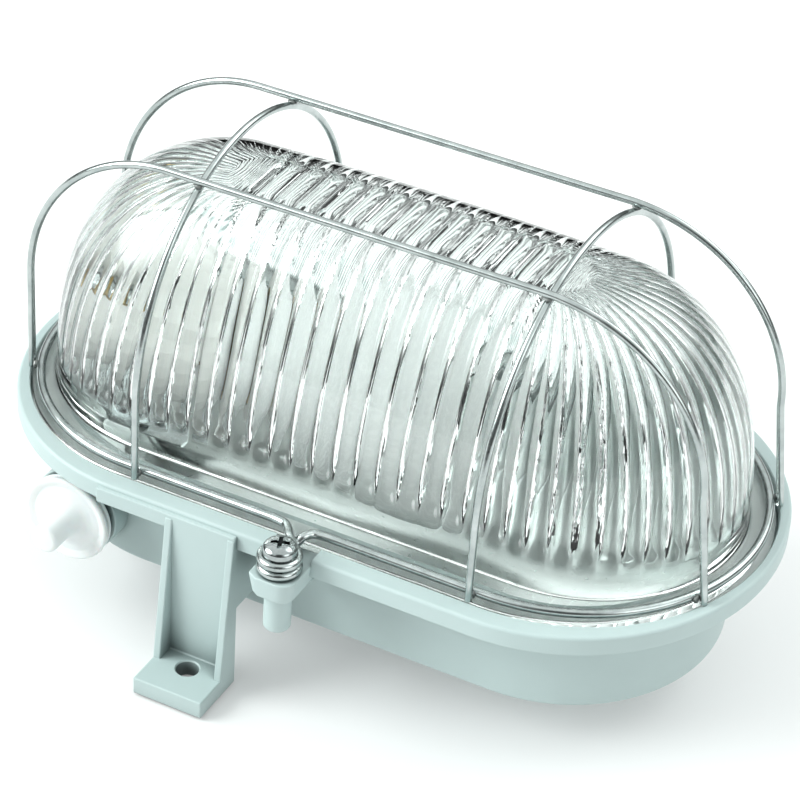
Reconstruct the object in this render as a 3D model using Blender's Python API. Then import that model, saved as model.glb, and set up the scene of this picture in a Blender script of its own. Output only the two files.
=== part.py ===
"""Oval bulkhead light: moulded base on two feet, ribbed glass, welded wire guard, E27 holder and bulb.

Frame: the origin is the middle of the mounting plane under the two feet. X runs along the light,
-Y is the side with the clamp screw and the cable entry, +Z points away from the mounting surface.
"""
import math

import bmesh
import bpy
from mathutils import Matrix, Vector

MM = 0.001

# Clearances
touch_gap = 0.3 * MM
screw_clearance = 0.55 * MM
hinge_clearance = 0.5 * MM

# The rim is the light's outline; its ends are half ellipses and the sides between them straight
rim_half_length = 105.3 * MM
rim_half_width = 60.0 * MM
rim_end_length = 54.9 * MM
end_steps = 26

# Base housing
stand_off = 14.2 * MM
tub_inset_end = 12.3 * MM
tub_inset_side = 15.5 * MM
tub_draft = 0.4 * MM
tub_edge_radius = 1.6 * MM
wall = 2.5 * MM
rim_edge_radius = 1.0 * MM
skirt_height = 5.3 * MM
shelf_depth = 26.7 * MM
rebate_lip_end = 2.7 * MM
rebate_lip_side = 5.4 * MM

# Glass and its gasket
flange_thickness = 3.0 * MM
flange_edge_gap = 0.6 * MM
glass_shift = 1.0 * MM
gasket_thickness = 1.5 * MM
gasket_width = 8.0 * MM
glass_inset_end = 9.1 * MM
glass_inset_side = 18.0 * MM
glass_height = 65.3 * MM
glass_crest_inset_end = 45.7 * MM
glass_crest_inset_side = 33.0 * MM
glass_end_power = 2.56
glass_side_power = 1.87
glass_crown = 0.05
glass_wall = 3.2 * MM
rib_pitch = 6.0 * MM
rib_depth = 1.1 * MM
rib_start = 8.0 * MM
rib_fade = 4.5 * MM

# Wire guard
ring_wire_diameter = 2.4 * MM
cage_wire_diameter = 2.0 * MM
ring_inset_end = 5.3 * MM
ring_inset_side = 8.5 * MM
cross_wire_inset = 3.4 * MM
cross_wire_skew = 4.1 * MM
cross_wire_knee = 20.0 * MM
cross_wire_rise = 55.0 * MM
long_wire_front = 25.2 * MM
long_wire_rear = 22.5 * MM
long_wire_knee = 28.0 * MM
long_wire_bend_left = 41.0 * MM
long_wire_bend_right = 46.5 * MM
long_wire_lean = 3.8 * MM
wire_sides_resolution = 2

# Clamp screw and its tongue
screw_x = 1.0 * MM
screw_overhang = 5.0 * MM
screw_shank_diameter = 3.6 * MM
screw_length = 16.0 * MM
screw_head_diameter = 8.8 * MM
screw_head_height = 2.9 * MM
eye_bend_radius = 4.6 * MM
eye_sweep = 250.0
eye_lead_length = 9.0 * MM
tongue_half_width = 6.2 * MM
tongue_reach = 6.0 * MM
tongue_corner = 4.0 * MM
tongue_chamfer = 2.6 * MM
tongue_taper = 0.85
tongue_drop = 2.0 * MM
tongue_thickness = 6.2 * MM
boss_diameter = 7.0 * MM
boss_depth = 11.3 * MM
boss_web_thickness = 2.0 * MM

# Rear hinge: a bar bent out of the ring wire lies in a moulded hook
hinge_overhang = 3.2 * MM
hinge_drop = 3.0 * MM
hinge_bar_half = 10.0 * MM
hook_half_width = 6.5 * MM
hook_thickness = 2.4 * MM

# Mounting legs
leg_x = -23.65 * MM
leg_width = 19.9 * MM
leg_overhang = 1.3 * MM
leg_web = 2.3 * MM
leg_rib = 2.0 * MM
leg_rib_depth = 5.6 * MM
leg_box_rise = 9.9 * MM
foot_reach = 15.0 * MM
foot_thickness = 5.0 * MM
foot_hole_diameter = 6.0 * MM
foot_hole_reach = 4.7 * MM
pad_length = 40.3 * MM

# Cable entry and grommet
entry_inset_end = 38.5 * MM
entry_inset_side = 9.4 * MM
entry_rise = 14.4 * MM
entry_boss_radius = 12.0 * MM
entry_bore_radius = 8.5 * MM
grommet_lip_radius = 12.2 * MM
grommet_lip_thickness = 3.4 * MM
grommet_groove_radius = 10.4 * MM
grommet_groove_width = 1.4 * MM
grommet_wall = 1.6 * MM
grommet_stem_length = 8.0 * MM
grommet_cone_length = 3.0 * MM
nipple_radius = 3.8 * MM
nipple_length = 7.5 * MM

# Lampholder and bulb: both lie along X with the holder at the left end
lamp_axis_rise = 11.5 * MM
holder_end_clearance = 9.5 * MM
bracket_thickness = 1.5 * MM
bracket_width = 22.0 * MM
bracket_foot_length = 24.0 * MM
post_height = 9.0 * MM
post_radius = 4.0 * MM
post_spacing = 13.0 * MM
holder_radius = 20.5 * MM
holder_base_radius = 17.0 * MM
holder_base_length = 13.0 * MM
holder_step = 2.0 * MM
holder_screw_hole_depth = 10.0 * MM
holder_screw_length = 9.0 * MM
holder_socket_radius = 15.4 * MM
shell_thickness = 0.5 * MM
shell_length = 26.0 * MM
shell_recess = 0.7 * MM
shell_cover = 2.0 * MM
cap_radius = 13.1 * MM
contact_thickness = 0.6 * MM
bulb_radius = 30.0 * MM
bulb_neck_radius = 15.0 * MM
bulb_length = 104.0 * MM
small_screw_diameter = 3.2 * MM
small_head_diameter = 6.4 * MM
small_head_height = 2.2 * MM
terminal_size = 6.0 * MM
terminal_length = 9.0 * MM
terminal_y = 11.0 * MM

# Outlines worked out from the rim
straight_half = rim_half_length - rim_end_length
tub_half_length = rim_half_length - tub_inset_end
tub_half_width = rim_half_width - tub_inset_side
glass_half_length = rim_half_length - glass_inset_end
glass_half_width = rim_half_width - glass_inset_side
glass_crest_half_length = glass_half_length - glass_crest_inset_end
glass_crest_half_width = glass_half_width - glass_crest_inset_side
ring_half_length = rim_half_length - ring_inset_end
ring_half_width = rim_half_width - ring_inset_side
cross_wire_x = straight_half - cross_wire_inset
holder_length = holder_base_length + holder_step + touch_gap + shell_length + shell_recess
cap_length = shell_length - shell_cover
screw_y = -(rim_half_width + screw_overhang)
hinge_y = rim_half_width + hinge_overhang
leg_face_y = -(rim_half_width + leg_overhang)
foot_hole_y = leg_face_y - foot_hole_reach
leg_box_height = stand_off + leg_box_rise
pad_end_x = leg_x + leg_width / 2 - pad_length
entry_x = -(rim_half_length - entry_inset_end)
entry_face_y = -(rim_half_width - entry_inset_side)
entry_z = stand_off + entry_rise
holder_back_x = -(tub_half_length - wall - holder_end_clearance)

# Levels worked out from the sizes above
tub_floor_z = stand_off + wall
shelf_z = stand_off + shelf_depth
rebate_floor_z = shelf_z + wall
gasket_bottom_z = rebate_floor_z + touch_gap
gasket_top_z = gasket_bottom_z + gasket_thickness
flange_bottom_z = gasket_top_z + touch_gap
flange_top_z = flange_bottom_z + flange_thickness
rim_top_z = flange_top_z
skirt_bottom_z = rim_top_z - skirt_height
ring_radius = ring_wire_diameter / 2
cage_radius = cage_wire_diameter / 2
ring_z = flange_top_z + touch_gap + ring_radius
rebate_half_length = rim_half_length - rebate_lip_end
rebate_half_width = rim_half_width - rebate_lip_side
flange_half_length = rebate_half_length - flange_edge_gap - glass_shift
flange_half_width = rebate_half_width - flange_edge_gap
tongue_top_z = rim_top_z - tongue_drop
lower_eye_z = tongue_top_z + touch_gap + ring_radius
upper_eye_z = lower_eye_z + ring_wire_diameter + touch_gap
screw_seat_z = upper_eye_z + ring_radius + touch_gap
hinge_z = ring_z - hinge_drop
lamp_axis_z = rim_top_z + lamp_axis_rise
post_top_z = tub_floor_z + post_height
bracket_z = post_top_z + touch_gap


def clear_scene():
    for item in list(bpy.data.objects):
        bpy.data.objects.remove(item, do_unlink=True)


def make_material(name, colour, roughness, metallic=0.0, transmission=0.0):
    material = bpy.data.materials.new(name)
    material.use_nodes = True
    shader = material.node_tree.nodes["Principled BSDF"]
    shader.inputs["Base Color"].default_value = (*colour, 1.0)
    shader.inputs["Roughness"].default_value = roughness
    shader.inputs["Metallic"].default_value = metallic
    shader.inputs["Transmission Weight"].default_value = transmission
    return material


def link_object(name, data, material):
    item = bpy.data.objects.new(name, data)
    bpy.context.scene.collection.objects.link(item)
    data.materials.append(material)
    return item


def mesh_object(name, body, material, smooth_angle=None):
    """Turn a bmesh into an object and free it; curved pieces are shaded smooth."""
    mesh = bpy.data.meshes.new(name)
    body.to_mesh(mesh)
    body.free()
    if smooth_angle is not None:
        mesh.shade_smooth()
        mesh.set_sharp_from_angle(angle=math.radians(smooth_angle))
    return link_object(name, mesh, material)


def tool_object(name, body):
    """A solid that only shapes another one."""
    mesh = bpy.data.meshes.new(name)
    body.to_mesh(mesh)
    body.free()
    item = bpy.data.objects.new(name, mesh)
    bpy.context.scene.collection.objects.link(item)
    item.hide_render = True
    item.display_type = "WIRE"
    return item


def shape_with(target, tool, operation):
    modifier = target.modifiers.new(tool.name, "BOOLEAN")
    modifier.operation = operation
    modifier.solver = "EXACT"
    modifier.object = tool


def outline(half_length, half_width, z, steps=end_steps):
    """An oval seen from above, anticlockwise, with straight sides and elliptical ends."""
    end = half_length - straight_half
    points = []
    for side in (1, -1):
        for step in range(steps + 1):
            angle = math.pi * (step / steps - 0.5)
            x = side * (straight_half + end * math.cos(angle))
            y = side * half_width * math.sin(angle)
            points.append(Vector((x, y, z)))
    return points


def loft(body, loops):
    """Join loops of equal count into one closed solid with flat ends."""
    rings = [[body.verts.new(point) for point in loop] for loop in loops]
    count = len(rings[0])
    for lower, upper in zip(rings, rings[1:]):
        for i in range(count):
            j = (i + 1) % count
            body.faces.new((lower[i], lower[j], upper[j], upper[i]))
    body.faces.new(list(reversed(rings[0])))
    body.faces.new(rings[-1])
    return rings


def loft_ovals(profile):
    body = bmesh.new()
    loft(body, [outline(length, width, z) for length, width, z in profile])
    return body


def prism(points, axis, low, high):
    """Push a flat outline along one axis; each point gives the two other coordinates in order."""
    def place(point, depth):
        values = list(point)
        values.insert("XYZ".index(axis), depth)
        return Vector(values)

    body = bmesh.new()
    loft(body, [[place(p, low) for p in points], [place(p, high) for p in points]])
    bmesh.ops.recalc_face_normals(body, faces=body.faces)
    return body


def box(x_range, y_range, z_range):
    corners = [(x_range[0], y_range[0]), (x_range[1], y_range[0]), (x_range[1], y_range[1]), (x_range[0], y_range[1])]
    return prism(corners, "Z", *z_range)


def turned(profile, steps, matrix=None):
    """Revolve (radius, height) points round Z; a point at radius zero closes the end."""
    body = bmesh.new()
    rings = []
    for radius, height in profile:
        if radius == 0.0:
            rings.append([body.verts.new((0.0, 0.0, height))])
            continue
        ring = []
        for step in range(steps):
            angle = 2 * math.pi * step / steps
            ring.append(body.verts.new((radius * math.cos(angle), radius * math.sin(angle), height)))
        rings.append(ring)
    for first, second in zip(rings, rings[1:]):
        for i in range(steps):
            j = (i + 1) % steps
            corners = [first[i % len(first)], first[j % len(first)], second[j % len(second)], second[i % len(second)]]
            face = []
            for corner in corners:
                if corner not in face:
                    face.append(corner)
            if len(face) > 2:
                body.faces.new(face)
    bmesh.ops.recalc_face_normals(body, faces=body.faces)
    if matrix is not None:
        body.transform(matrix)
    return body


def cylinder(radius, low, high, steps=24, matrix=None):
    return turned([(0.0, low), (radius, low), (radius, high), (0.0, high)], steps, matrix)


def smooth_path(points, steps=5):
    """A Catmull-Rom curve through the points."""
    padded = [2 * points[0] - points[1]] + list(points) + [2 * points[-1] - points[-2]]
    path = []
    for before, start, end, after in zip(padded, padded[1:], padded[2:], padded[3:]):
        for step in range(steps):
            t = step / steps
            linear = (end - before) * t
            square = (2 * before - 5 * start + 4 * end - after) * t ** 2
            cube = (3 * start - before - 3 * end + after) * t ** 3
            path.append(0.5 * (2 * start + linear + square + cube))
    path.append(points[-1].copy())
    return path


def wire_object(name, points, diameter, material):
    """A round wire along a path, with closed ends."""
    curve = bpy.data.curves.new(name, "CURVE")
    curve.dimensions = "3D"
    curve.bevel_depth = diameter / 2
    curve.bevel_resolution = wire_sides_resolution
    curve.use_fill_caps = True
    spline = curve.splines.new("POLY")
    spline.points.add(len(points) - 1)
    for target, point in zip(spline.points, points):
        target.co = (*point, 1.0)
    return link_object(name, curve, material)


# Base housing

def housing_outer():
    radius = tub_edge_radius
    profile = []
    for step in range(4):
        angle = math.radians(30 * step)
        inset = radius * (1 - math.sin(angle))
        profile.append((tub_half_length - inset, tub_half_width - inset, stand_off + radius * (1 - math.cos(angle))))
    profile.append((tub_half_length + tub_draft, tub_half_width + tub_draft, shelf_z))
    lip = rim_half_length - rebate_half_length
    profile.append((rim_half_length - lip - wall, rim_half_width - lip - wall - wall, shelf_z))
    profile.append((rim_half_length - lip, rim_half_width - lip, skirt_bottom_z))
    profile.append((rim_half_length, rim_half_width, skirt_bottom_z))
    for step in range(4):
        angle = math.radians(30 * step)
        inset = rim_edge_radius * (1 - math.cos(angle))
        height = rim_top_z - rim_edge_radius * (1 - math.sin(angle))
        profile.append((rim_half_length - inset, rim_half_width - inset, height))
    return loft_ovals(profile)


def housing_cavity():
    inner_length = tub_half_length - wall
    inner_width = tub_half_width - wall
    radius = tub_edge_radius
    above = rim_top_z + wall
    profile = [
        (inner_length - radius, inner_width - radius, tub_floor_z),
        (inner_length, inner_width, tub_floor_z + radius),
        (inner_length + tub_draft, inner_width + tub_draft, rebate_floor_z),
        (rebate_half_length, rebate_half_width, rebate_floor_z),
        (rebate_half_length, rebate_half_width, above),
    ]
    return loft_ovals(profile)


def leg_web_and_foot():
    back = leg_face_y + leg_web
    toe = leg_face_y - foot_reach
    top = skirt_bottom_z + skirt_height - rim_edge_radius
    points = [(back, top), (leg_face_y, top), (leg_face_y, foot_thickness), (toe, foot_thickness), (toe, 0.0), (back, 0.0)]
    return prism(points, "X", leg_x - leg_width / 2, leg_x + leg_width / 2)


def leg_rib_plate(side):
    """One cheek: a tapering rib in front of the web, and the wall that ties the web to the tub."""
    middle = leg_face_y + leg_web / 2
    rib_top = rim_top_z - 2 * rim_edge_radius
    tub_face = -(tub_half_width - wall / 2)
    points = [
        (leg_face_y - touch_gap, rib_top),
        (leg_face_y - leg_rib_depth, foot_thickness / 2),
        (middle, foot_thickness / 2),
        (middle, leg_box_height),
        (tub_face, leg_box_height),
        (tub_face, shelf_z + wall / 2),
        (middle, rib_top),
    ]
    outer = leg_x + side * leg_width / 2
    inner = outer - side * leg_rib
    return prism(points, "X", min(outer, inner), max(outer, inner))


def skirt_pad():
    low = skirt_bottom_z
    high = rim_top_z - rim_edge_radius
    return box((pad_end_x, leg_x), (leg_face_y, leg_face_y + wall), (low, high))


def tongue():
    """A block with one chamfered and one round front corner, tapering down towards the boss."""
    root = -(rim_half_width - wall)
    left = screw_x - tongue_half_width
    right = screw_x + tongue_half_width
    front = screw_y - tongue_reach
    flat = [(left, root), (left, front + tongue_chamfer * 0.6), (left + tongue_chamfer, front)]
    for step in range(6):
        angle = math.pi / 2 * (step / 5 - 1)
        x = right - tongue_corner * (1 - math.cos(angle))
        flat.append((x, front + tongue_corner * (1 + math.sin(angle))))
    flat.append((right, root))
    upper = [Vector((x, y, tongue_top_z)) for x, y in flat]
    lower = []
    for x, y in flat:
        ahead = min(y - screw_y, 0.0) * (1 - tongue_taper)
        lower.append(Vector((screw_x + (x - screw_x) * tongue_taper, y - ahead, tongue_top_z - tongue_thickness)))
    body = bmesh.new()
    loft(body, [lower, upper])
    bmesh.ops.recalc_face_normals(body, faces=body.faces)
    return body


def at_screw():
    return Matrix.Translation((screw_x, screw_y, 0.0))


def screw_boss():
    radius = boss_diameter / 2
    bottom = tongue_top_z - tongue_thickness - boss_depth
    middle = tongue_top_z - tongue_thickness / 2
    profile = [(0.0, bottom), (radius - 1.0 * MM, bottom), (radius, bottom + 1.0 * MM), (radius, middle), (0.0, middle)]
    return turned(profile, 24, at_screw())


def boss_web():
    bottom = tongue_top_z - tongue_thickness - boss_depth / 2
    points = [(screw_y, shelf_z + wall / 2), (screw_y, bottom), (-(tub_half_width - wall / 2), bottom - boss_depth / 4),
              (-(tub_half_width - wall / 2), shelf_z + wall / 2)]
    half = boss_web_thickness / 2
    return prism(points, "X", screw_x - half, screw_x + half)


def wire_notch():
    """Lowers the rim to the tongue where the two wire ends come out."""
    half = tongue_half_width
    return box((screw_x - half, screw_x + half), (-rim_half_width - wall, -rebate_half_width + wall), (tongue_top_z, ring_z))


def hinge_hook():
    """An upside-down J that closes over the hinge bar."""
    inside_top = hinge_z + ring_radius + hinge_clearance
    outside_top = inside_top + hook_thickness
    inside_y = hinge_y + ring_radius + hinge_clearance
    outside_y = inside_y + hook_thickness
    root = rebate_half_width + 1.5 * MM
    points = [
        (root, outside_top), (root, rim_top_z - wall), (rim_half_width - wall / 2, rim_top_z - wall),
        (rim_half_width - wall / 2, inside_top), (inside_y, inside_top), (inside_y, hinge_z - ring_radius),
        (outside_y, hinge_z - ring_radius), (outside_y, outside_top - hook_thickness / 2),
        (outside_y - hook_thickness / 2, outside_top),
    ]
    return prism(points, "X", -hook_half_width, hook_half_width)


def at_entry():
    """Turns Z to -Y, so heights are distances in front of the entry's own face."""
    return Matrix.Translation((entry_x, entry_face_y, entry_z)) @ Matrix.Rotation(math.pi / 2, 4, "X")


def tub_wall_y(x):
    """How far out the tub's wall stands at a station along X."""
    beyond = max(abs(x) - straight_half, 0.0) / (tub_half_length - straight_half)
    return tub_half_width * math.sqrt(1 - beyond ** 2)


def entry_depth(radius):
    """From the entry's face back to the tub's wall at the far edge of a round feature."""
    return -entry_face_y - tub_wall_y(abs(entry_x) + radius) + wall / 2


def post_places():
    return [(holder_back_x + post_radius + wall, side * post_spacing / 2) for side in (-1, 1)]


def build_housing(material):
    housing = mesh_object("base_housing", housing_outer(), material, 35)
    half_turn = Matrix.Rotation(math.pi, 4, "Z")
    leg_tools = [("leg_web", leg_web_and_foot()), ("leg_rib_left", leg_rib_plate(-1)),
                 ("leg_rib_right", leg_rib_plate(1)), ("skirt_pad", skirt_pad())]
    for name, body in leg_tools:
        front = tool_object(name + "_front", body)
        rear = bpy.data.objects.new(name + "_rear", front.data)
        bpy.context.scene.collection.objects.link(rear)
        rear.hide_render = True
        rear.display_type = "WIRE"
        rear.matrix_world = half_turn
        shape_with(housing, front, "UNION")
        shape_with(housing, rear, "UNION")
    added = [("tongue", tongue()), ("screw_boss", screw_boss()), ("boss_web", boss_web()),
             ("hinge_hook", hinge_hook()),
             ("entry_boss", cylinder(entry_boss_radius, -entry_depth(entry_boss_radius), 0.0, 32, at_entry()))]
    for name, body in added:
        shape_with(housing, tool_object(name, body), "UNION")
    shape_with(housing, tool_object("cavity", housing_cavity()), "DIFFERENCE")
    for index, (x, y) in enumerate(post_places()):
        place = Matrix.Translation((x, y, 0.0))
        post = tool_object(f"post_{index}", cylinder(post_radius, stand_off + wall / 2, post_top_z, 16, place))
        shape_with(housing, post, "UNION")
        pilot = cylinder(small_screw_diameter / 2 + touch_gap, tub_floor_z, post_top_z + wall, 12, place)
        shape_with(housing, tool_object(f"post_pilot_{index}", pilot), "DIFFERENCE")
    hole_radius = screw_shank_diameter / 2 + screw_clearance
    bore_bottom = screw_seat_z - screw_length - wall / 2
    cuts = [("wire_notch", wire_notch()), ("screw_hole", cylinder(hole_radius, bore_bottom, rim_top_z, 16, at_screw())),
            ("entry_bore", cylinder(entry_bore_radius, -entry_depth(entry_bore_radius) - 2 * wall, wall, 24, at_entry()))]
    hole = (leg_x, foot_hole_y)
    for turn in (1, -1):
        place = Matrix.Translation((turn * hole[0], turn * hole[1], 0.0))
        cuts.append((f"foot_hole_{turn}", cylinder(foot_hole_diameter / 2, -wall, foot_thickness + wall, 16, place)))
    for name, body in cuts:
        shape_with(housing, tool_object(name, body), "DIFFERENCE")
    return housing


# Gasket, glass

def build_gasket(material):
    outer = (rebate_half_length - flange_edge_gap, rebate_half_width - flange_edge_gap)
    inner = (outer[0] - gasket_width, outer[1] - gasket_width)
    body = bmesh.new()
    loops = [outline(*outer, gasket_bottom_z), outline(*outer, gasket_top_z),
             outline(*inner, gasket_top_z), outline(*inner, gasket_bottom_z)]
    rings = [[body.verts.new(point) for point in loop] for loop in loops]
    count = len(rings[0])
    for lower, upper in zip(rings, rings[1:] + rings[:1]):
        for i in range(count):
            j = (i + 1) % count
            body.faces.new((lower[i], lower[j], upper[j], upper[i]))
    return mesh_object("gasket", body, material)


def dome_level(share, inset):
    """Half length and half width of the dome's outline at a share of its height."""
    length = glass_half_length - inset
    width = glass_half_width - inset
    end_drop = (length - glass_crest_half_length) * (1 - (1 - share ** glass_end_power) ** (1 / glass_end_power))
    side_drop = (width - glass_crest_half_width) * (1 - (1 - share ** glass_side_power) ** (1 / glass_side_power))
    return length - end_drop, width - side_drop


def dome_half_width(x, share, inset):
    """Half width of the dome across one station at a share of its height."""
    length, width = dome_level(share, inset)
    straight = max(length - width, 0.0)
    beyond = abs(x) - straight
    if beyond <= 0.0:
        return width
    if beyond >= width:
        return 0.0
    return math.sqrt(width ** 2 - beyond ** 2)


def highest_share(x, inset):
    """The share of the height at which the dome closes over this station."""
    if abs(x) <= dome_level(1.0, inset)[0]:
        return 1.0
    low, high = 0.0, 1.0
    for _ in range(40):
        middle = (low + high) / 2
        if dome_level(middle, inset)[0] > abs(x):
            low = middle
        else:
            high = middle
    return low


def dome_arch(x, inset, steps):
    """Points over the dome at one station, from the front side to the rear side, (y, height)."""
    top = highest_share(x, inset)
    height = (glass_height - inset) * (1 - glass_crown * (x / glass_half_length) ** 2)
    front = []
    for step in range(steps + 1):
        share = top * math.sin(math.pi / 2 * step / steps)
        front.append((-dome_half_width(x, share, inset), share * height))
    rear = [(-y, z) for y, z in reversed(front)]
    if front[-1][0] > -touch_gap:
        front[-1] = (0.0, front[-1][1])
        return front + rear[1:]
    return front + rear


def rib_height(x, z):
    """How far the inner ribs stand in from the wall: crests every pitch, fading out above the flange."""
    crest = 0.5 + 0.5 * math.cos(2 * math.pi * x / rib_pitch)
    fade = min(max((z - rib_start) / rib_fade, 0.0), 1.0)
    return rib_depth * crest * fade


def dome_stations(inset, spacing):
    """Stations along X: one spacing apart on the long sides, closing up towards the round ends."""
    length = glass_half_length - inset
    width = glass_half_width - inset
    stations = []
    count = int((length - 0.1 * width) / spacing)
    for index in range(count + 1):
        stations.append(index * spacing)
    for share in (0.35, 0.65, 0.85, 0.96):
        stations.append(stations[count] + share * (length - stations[count]))
    return [-x for x in reversed(stations[1:])] + stations


def dome_surface(body, stations, inset, arch_steps, ribs):
    """A grid over the dome; returns its foot as one loop and leaves the two tips closed."""
    rows = []
    for x in stations:
        arch = dome_arch(x, inset, arch_steps)
        points = []
        for index, (y, z) in enumerate(arch):
            if ribs and 0 < index < len(arch) - 1:
                before = Vector(arch[index - 1])
                after = Vector(arch[index + 1])
                along = (after - before).normalized()
                depth = rib_height(x, z)
                y -= depth * -along.y
                z -= depth * along.x
            points.append(body.verts.new((x, y, flange_top_z + z)))
        rows.append(points)
    for first, second in zip(rows, rows[1:]):
        bridge_rows(body, first, second)
    length = glass_half_length - inset
    tips = [body.verts.new((side * length, 0.0, flange_top_z)) for side in (-1, 1)]
    for index in range(len(rows[0]) - 1):
        body.faces.new((rows[0][index], rows[0][index + 1], tips[0]))
    for index in range(len(rows[-1]) - 1):
        body.faces.new((rows[-1][index + 1], rows[-1][index], tips[1]))
    front = [row[0] for row in rows]
    rear = [row[-1] for row in reversed(rows)]
    return [tips[0]] + front + [tips[1]] + rear


def bridge_rows(body, first, second):
    """Join two arches; an arch that closes in a point at its crest has one point fewer."""
    if len(first) == len(second):
        for i in range(len(first) - 1):
            body.faces.new((first[i], second[i], second[i + 1], first[i + 1]))
        return
    crest = min(len(first), len(second)) // 2
    long_row, short_row = (first, second) if len(first) > len(second) else (second, first)
    flip = long_row is second
    for i in range(crest):
        quad = [long_row[i], short_row[i], short_row[i + 1], long_row[i + 1]]
        body.faces.new(list(reversed(quad)) if flip else quad)
    triangle = [long_row[crest], short_row[crest], long_row[crest + 1]]
    body.faces.new(list(reversed(triangle)) if flip else triangle)
    for i in range(crest, len(short_row) - 1):
        quad = [long_row[i + 1], short_row[i], short_row[i + 1], long_row[i + 2]]
        body.faces.new(list(reversed(quad)) if flip else quad)


def flange_point(foot, inset, half_length, half_width, z):
    """The point of an oval that lies square outside a point of the dome's foot."""
    length = glass_half_length - inset
    width = glass_half_width - inset
    straight = length - width
    beyond = abs(foot.x) - straight
    side_x = math.copysign(1.0, foot.x)
    side_y = math.copysign(1.0, foot.y)
    if beyond <= 0.0:
        return Vector((foot.x * straight_half / straight, side_y * half_width, z))
    sine = min(beyond / width, 1.0)
    cosine = math.sqrt(1 - sine ** 2)
    end = half_length - straight_half
    return Vector((side_x * (straight_half + end * sine), side_y * half_width * cosine, z))


def build_glass(material):
    """Clear pressed glass: a plain outer dome, ribs inside it and a flat flange round its foot."""
    body = bmesh.new()
    foot_outer = dome_surface(body, dome_stations(0.0, rib_pitch), 0.0, 8, False)
    inner_stations = dome_stations(glass_wall, rib_pitch / 2)
    foot_inner = dome_surface(body, inner_stations, glass_wall, 8, True)
    for vert in foot_inner:
        vert.co.z = flange_bottom_z
    levels = [flange_top_z, flange_bottom_z]
    rings = []
    for z in levels:
        rings.append([body.verts.new(flange_point(v.co, 0.0, flange_half_length, flange_half_width, z)) for v in foot_outer])
    join_loops(body, foot_outer, rings[0])
    join_loops(body, rings[0], rings[1])
    edges = loop_edges(body, rings[1]) + loop_edges(body, foot_inner)
    bmesh.ops.triangle_fill(body, use_beauty=True, edges=edges)
    bmesh.ops.recalc_face_normals(body, faces=body.faces)
    body.transform(Matrix.Translation((-glass_shift, 0.0, 0.0)))
    return mesh_object("glass_dome", body, material, 40)


def join_loops(body, first, second):
    count = len(first)
    for i in range(count):
        j = (i + 1) % count
        body.faces.new((first[i], first[j], second[j], second[i]))


def loop_edges(body, loop):
    edges = []
    for i, vert in enumerate(loop):
        other = loop[(i + 1) % len(loop)]
        edges.append(body.edges.get((vert, other)) or body.edges.new((vert, other)))
    return edges


# Wire guard

def eye_arc(start_degrees, end_degrees, z, steps):
    points = []
    for step in range(steps + 1):
        angle = math.radians(start_degrees + (end_degrees - start_degrees) * step / steps)
        x = screw_x + eye_bend_radius * math.cos(angle)
        y = screw_y + eye_bend_radius * math.sin(angle)
        points.append(Vector((x, y, z)))
    return points


def end_arc(side, steps=18):
    """The ring wire round one end, from the front side for the left end, from the rear for the right."""
    end = ring_half_length - straight_half
    points = []
    for step in range(steps + 1):
        angle = math.pi * (step / steps - 0.5)
        x = side * (straight_half + end * math.cos(angle))
        y = -side * ring_half_width * math.sin(angle)
        points.append(Vector((x, y, ring_z)))
    return points


def hinge_bend():
    """From the ring's rear side out over the rim, down to the hinge bar and back."""
    bend = 3.0 * MM
    start = Vector((-hinge_bar_half - bend, ring_half_width, ring_z))
    left = [
        start,
        Vector((-hinge_bar_half - bend * 0.3, ring_half_width + bend * 0.3, ring_z)),
        Vector((-hinge_bar_half, ring_half_width + bend, ring_z)),
        Vector((-hinge_bar_half, rim_half_width - touch_gap, ring_z)),
        Vector((-hinge_bar_half, hinge_y - ring_radius, ring_z - hinge_drop * 0.2)),
        Vector((-hinge_bar_half + bend * 0.15, hinge_y - touch_gap, hinge_z + ring_radius)),
        Vector((-hinge_bar_half + bend * 0.8, hinge_y, hinge_z)),
    ]
    right = [Vector((-p.x, p.y, p.z)) for p in reversed(left)]
    return smooth_path(left + right, 3)


def ring_wire_path():
    """From the upper eye round the left end, the rear and the right end to the lower eye."""
    line_y = -ring_half_width
    crossing_y = (line_y + screw_y) / 2
    upper_tangent = 35.0
    lower_tangent = 158.0
    upper_eye = eye_arc(upper_tangent - eye_sweep, upper_tangent, upper_eye_z, 16)
    lower_eye = eye_arc(lower_tangent, lower_tangent + eye_sweep, lower_eye_z, 16)
    lift = upper_eye_z + ring_radius / 3
    upper_lead = smooth_path([
        upper_eye[-1],
        Vector((screw_x - 1.0 * MM, crossing_y + 0.2 * MM, lift)),
        Vector((screw_x - 3.2 * MM, line_y - 3.4 * MM, lift - ring_radius / 2)),
        Vector((screw_x - 5.6 * MM, line_y - 0.8 * MM, ring_z + touch_gap / 2)),
        Vector((screw_x - eye_lead_length, line_y, ring_z)),
    ], 3)
    lower_lead = smooth_path([
        Vector((screw_x + 6.0 * MM, line_y, ring_z)),
        Vector((screw_x + 2.6 * MM, line_y - 0.6 * MM, ring_z)),
        Vector((screw_x + 0.9 * MM, line_y - 2.8 * MM, ring_z)),
        Vector((screw_x - 0.2 * MM, crossing_y + 2.2 * MM, ring_z - ring_radius)),
        Vector((screw_x - 1.6 * MM, crossing_y - 0.9 * MM, lower_eye_z + touch_gap / 3)),
        lower_eye[0],
    ], 3)
    path = upper_eye[:-1] + upper_lead
    path += end_arc(-1)
    path += hinge_bend()
    path += end_arc(1)
    path += lower_lead + lower_eye[1:]
    return path


def cross_wire_foot():
    return ring_half_width + ring_radius + touch_gap + cage_radius


def cross_wire_station(side, y):
    """Where a cross wire passes the line y; the right one stands a little askew."""
    if side < 0:
        return -cross_wire_x
    half = cross_wire_foot()
    return cross_wire_x + cross_wire_skew * (y + half) / (2 * half)


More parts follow.
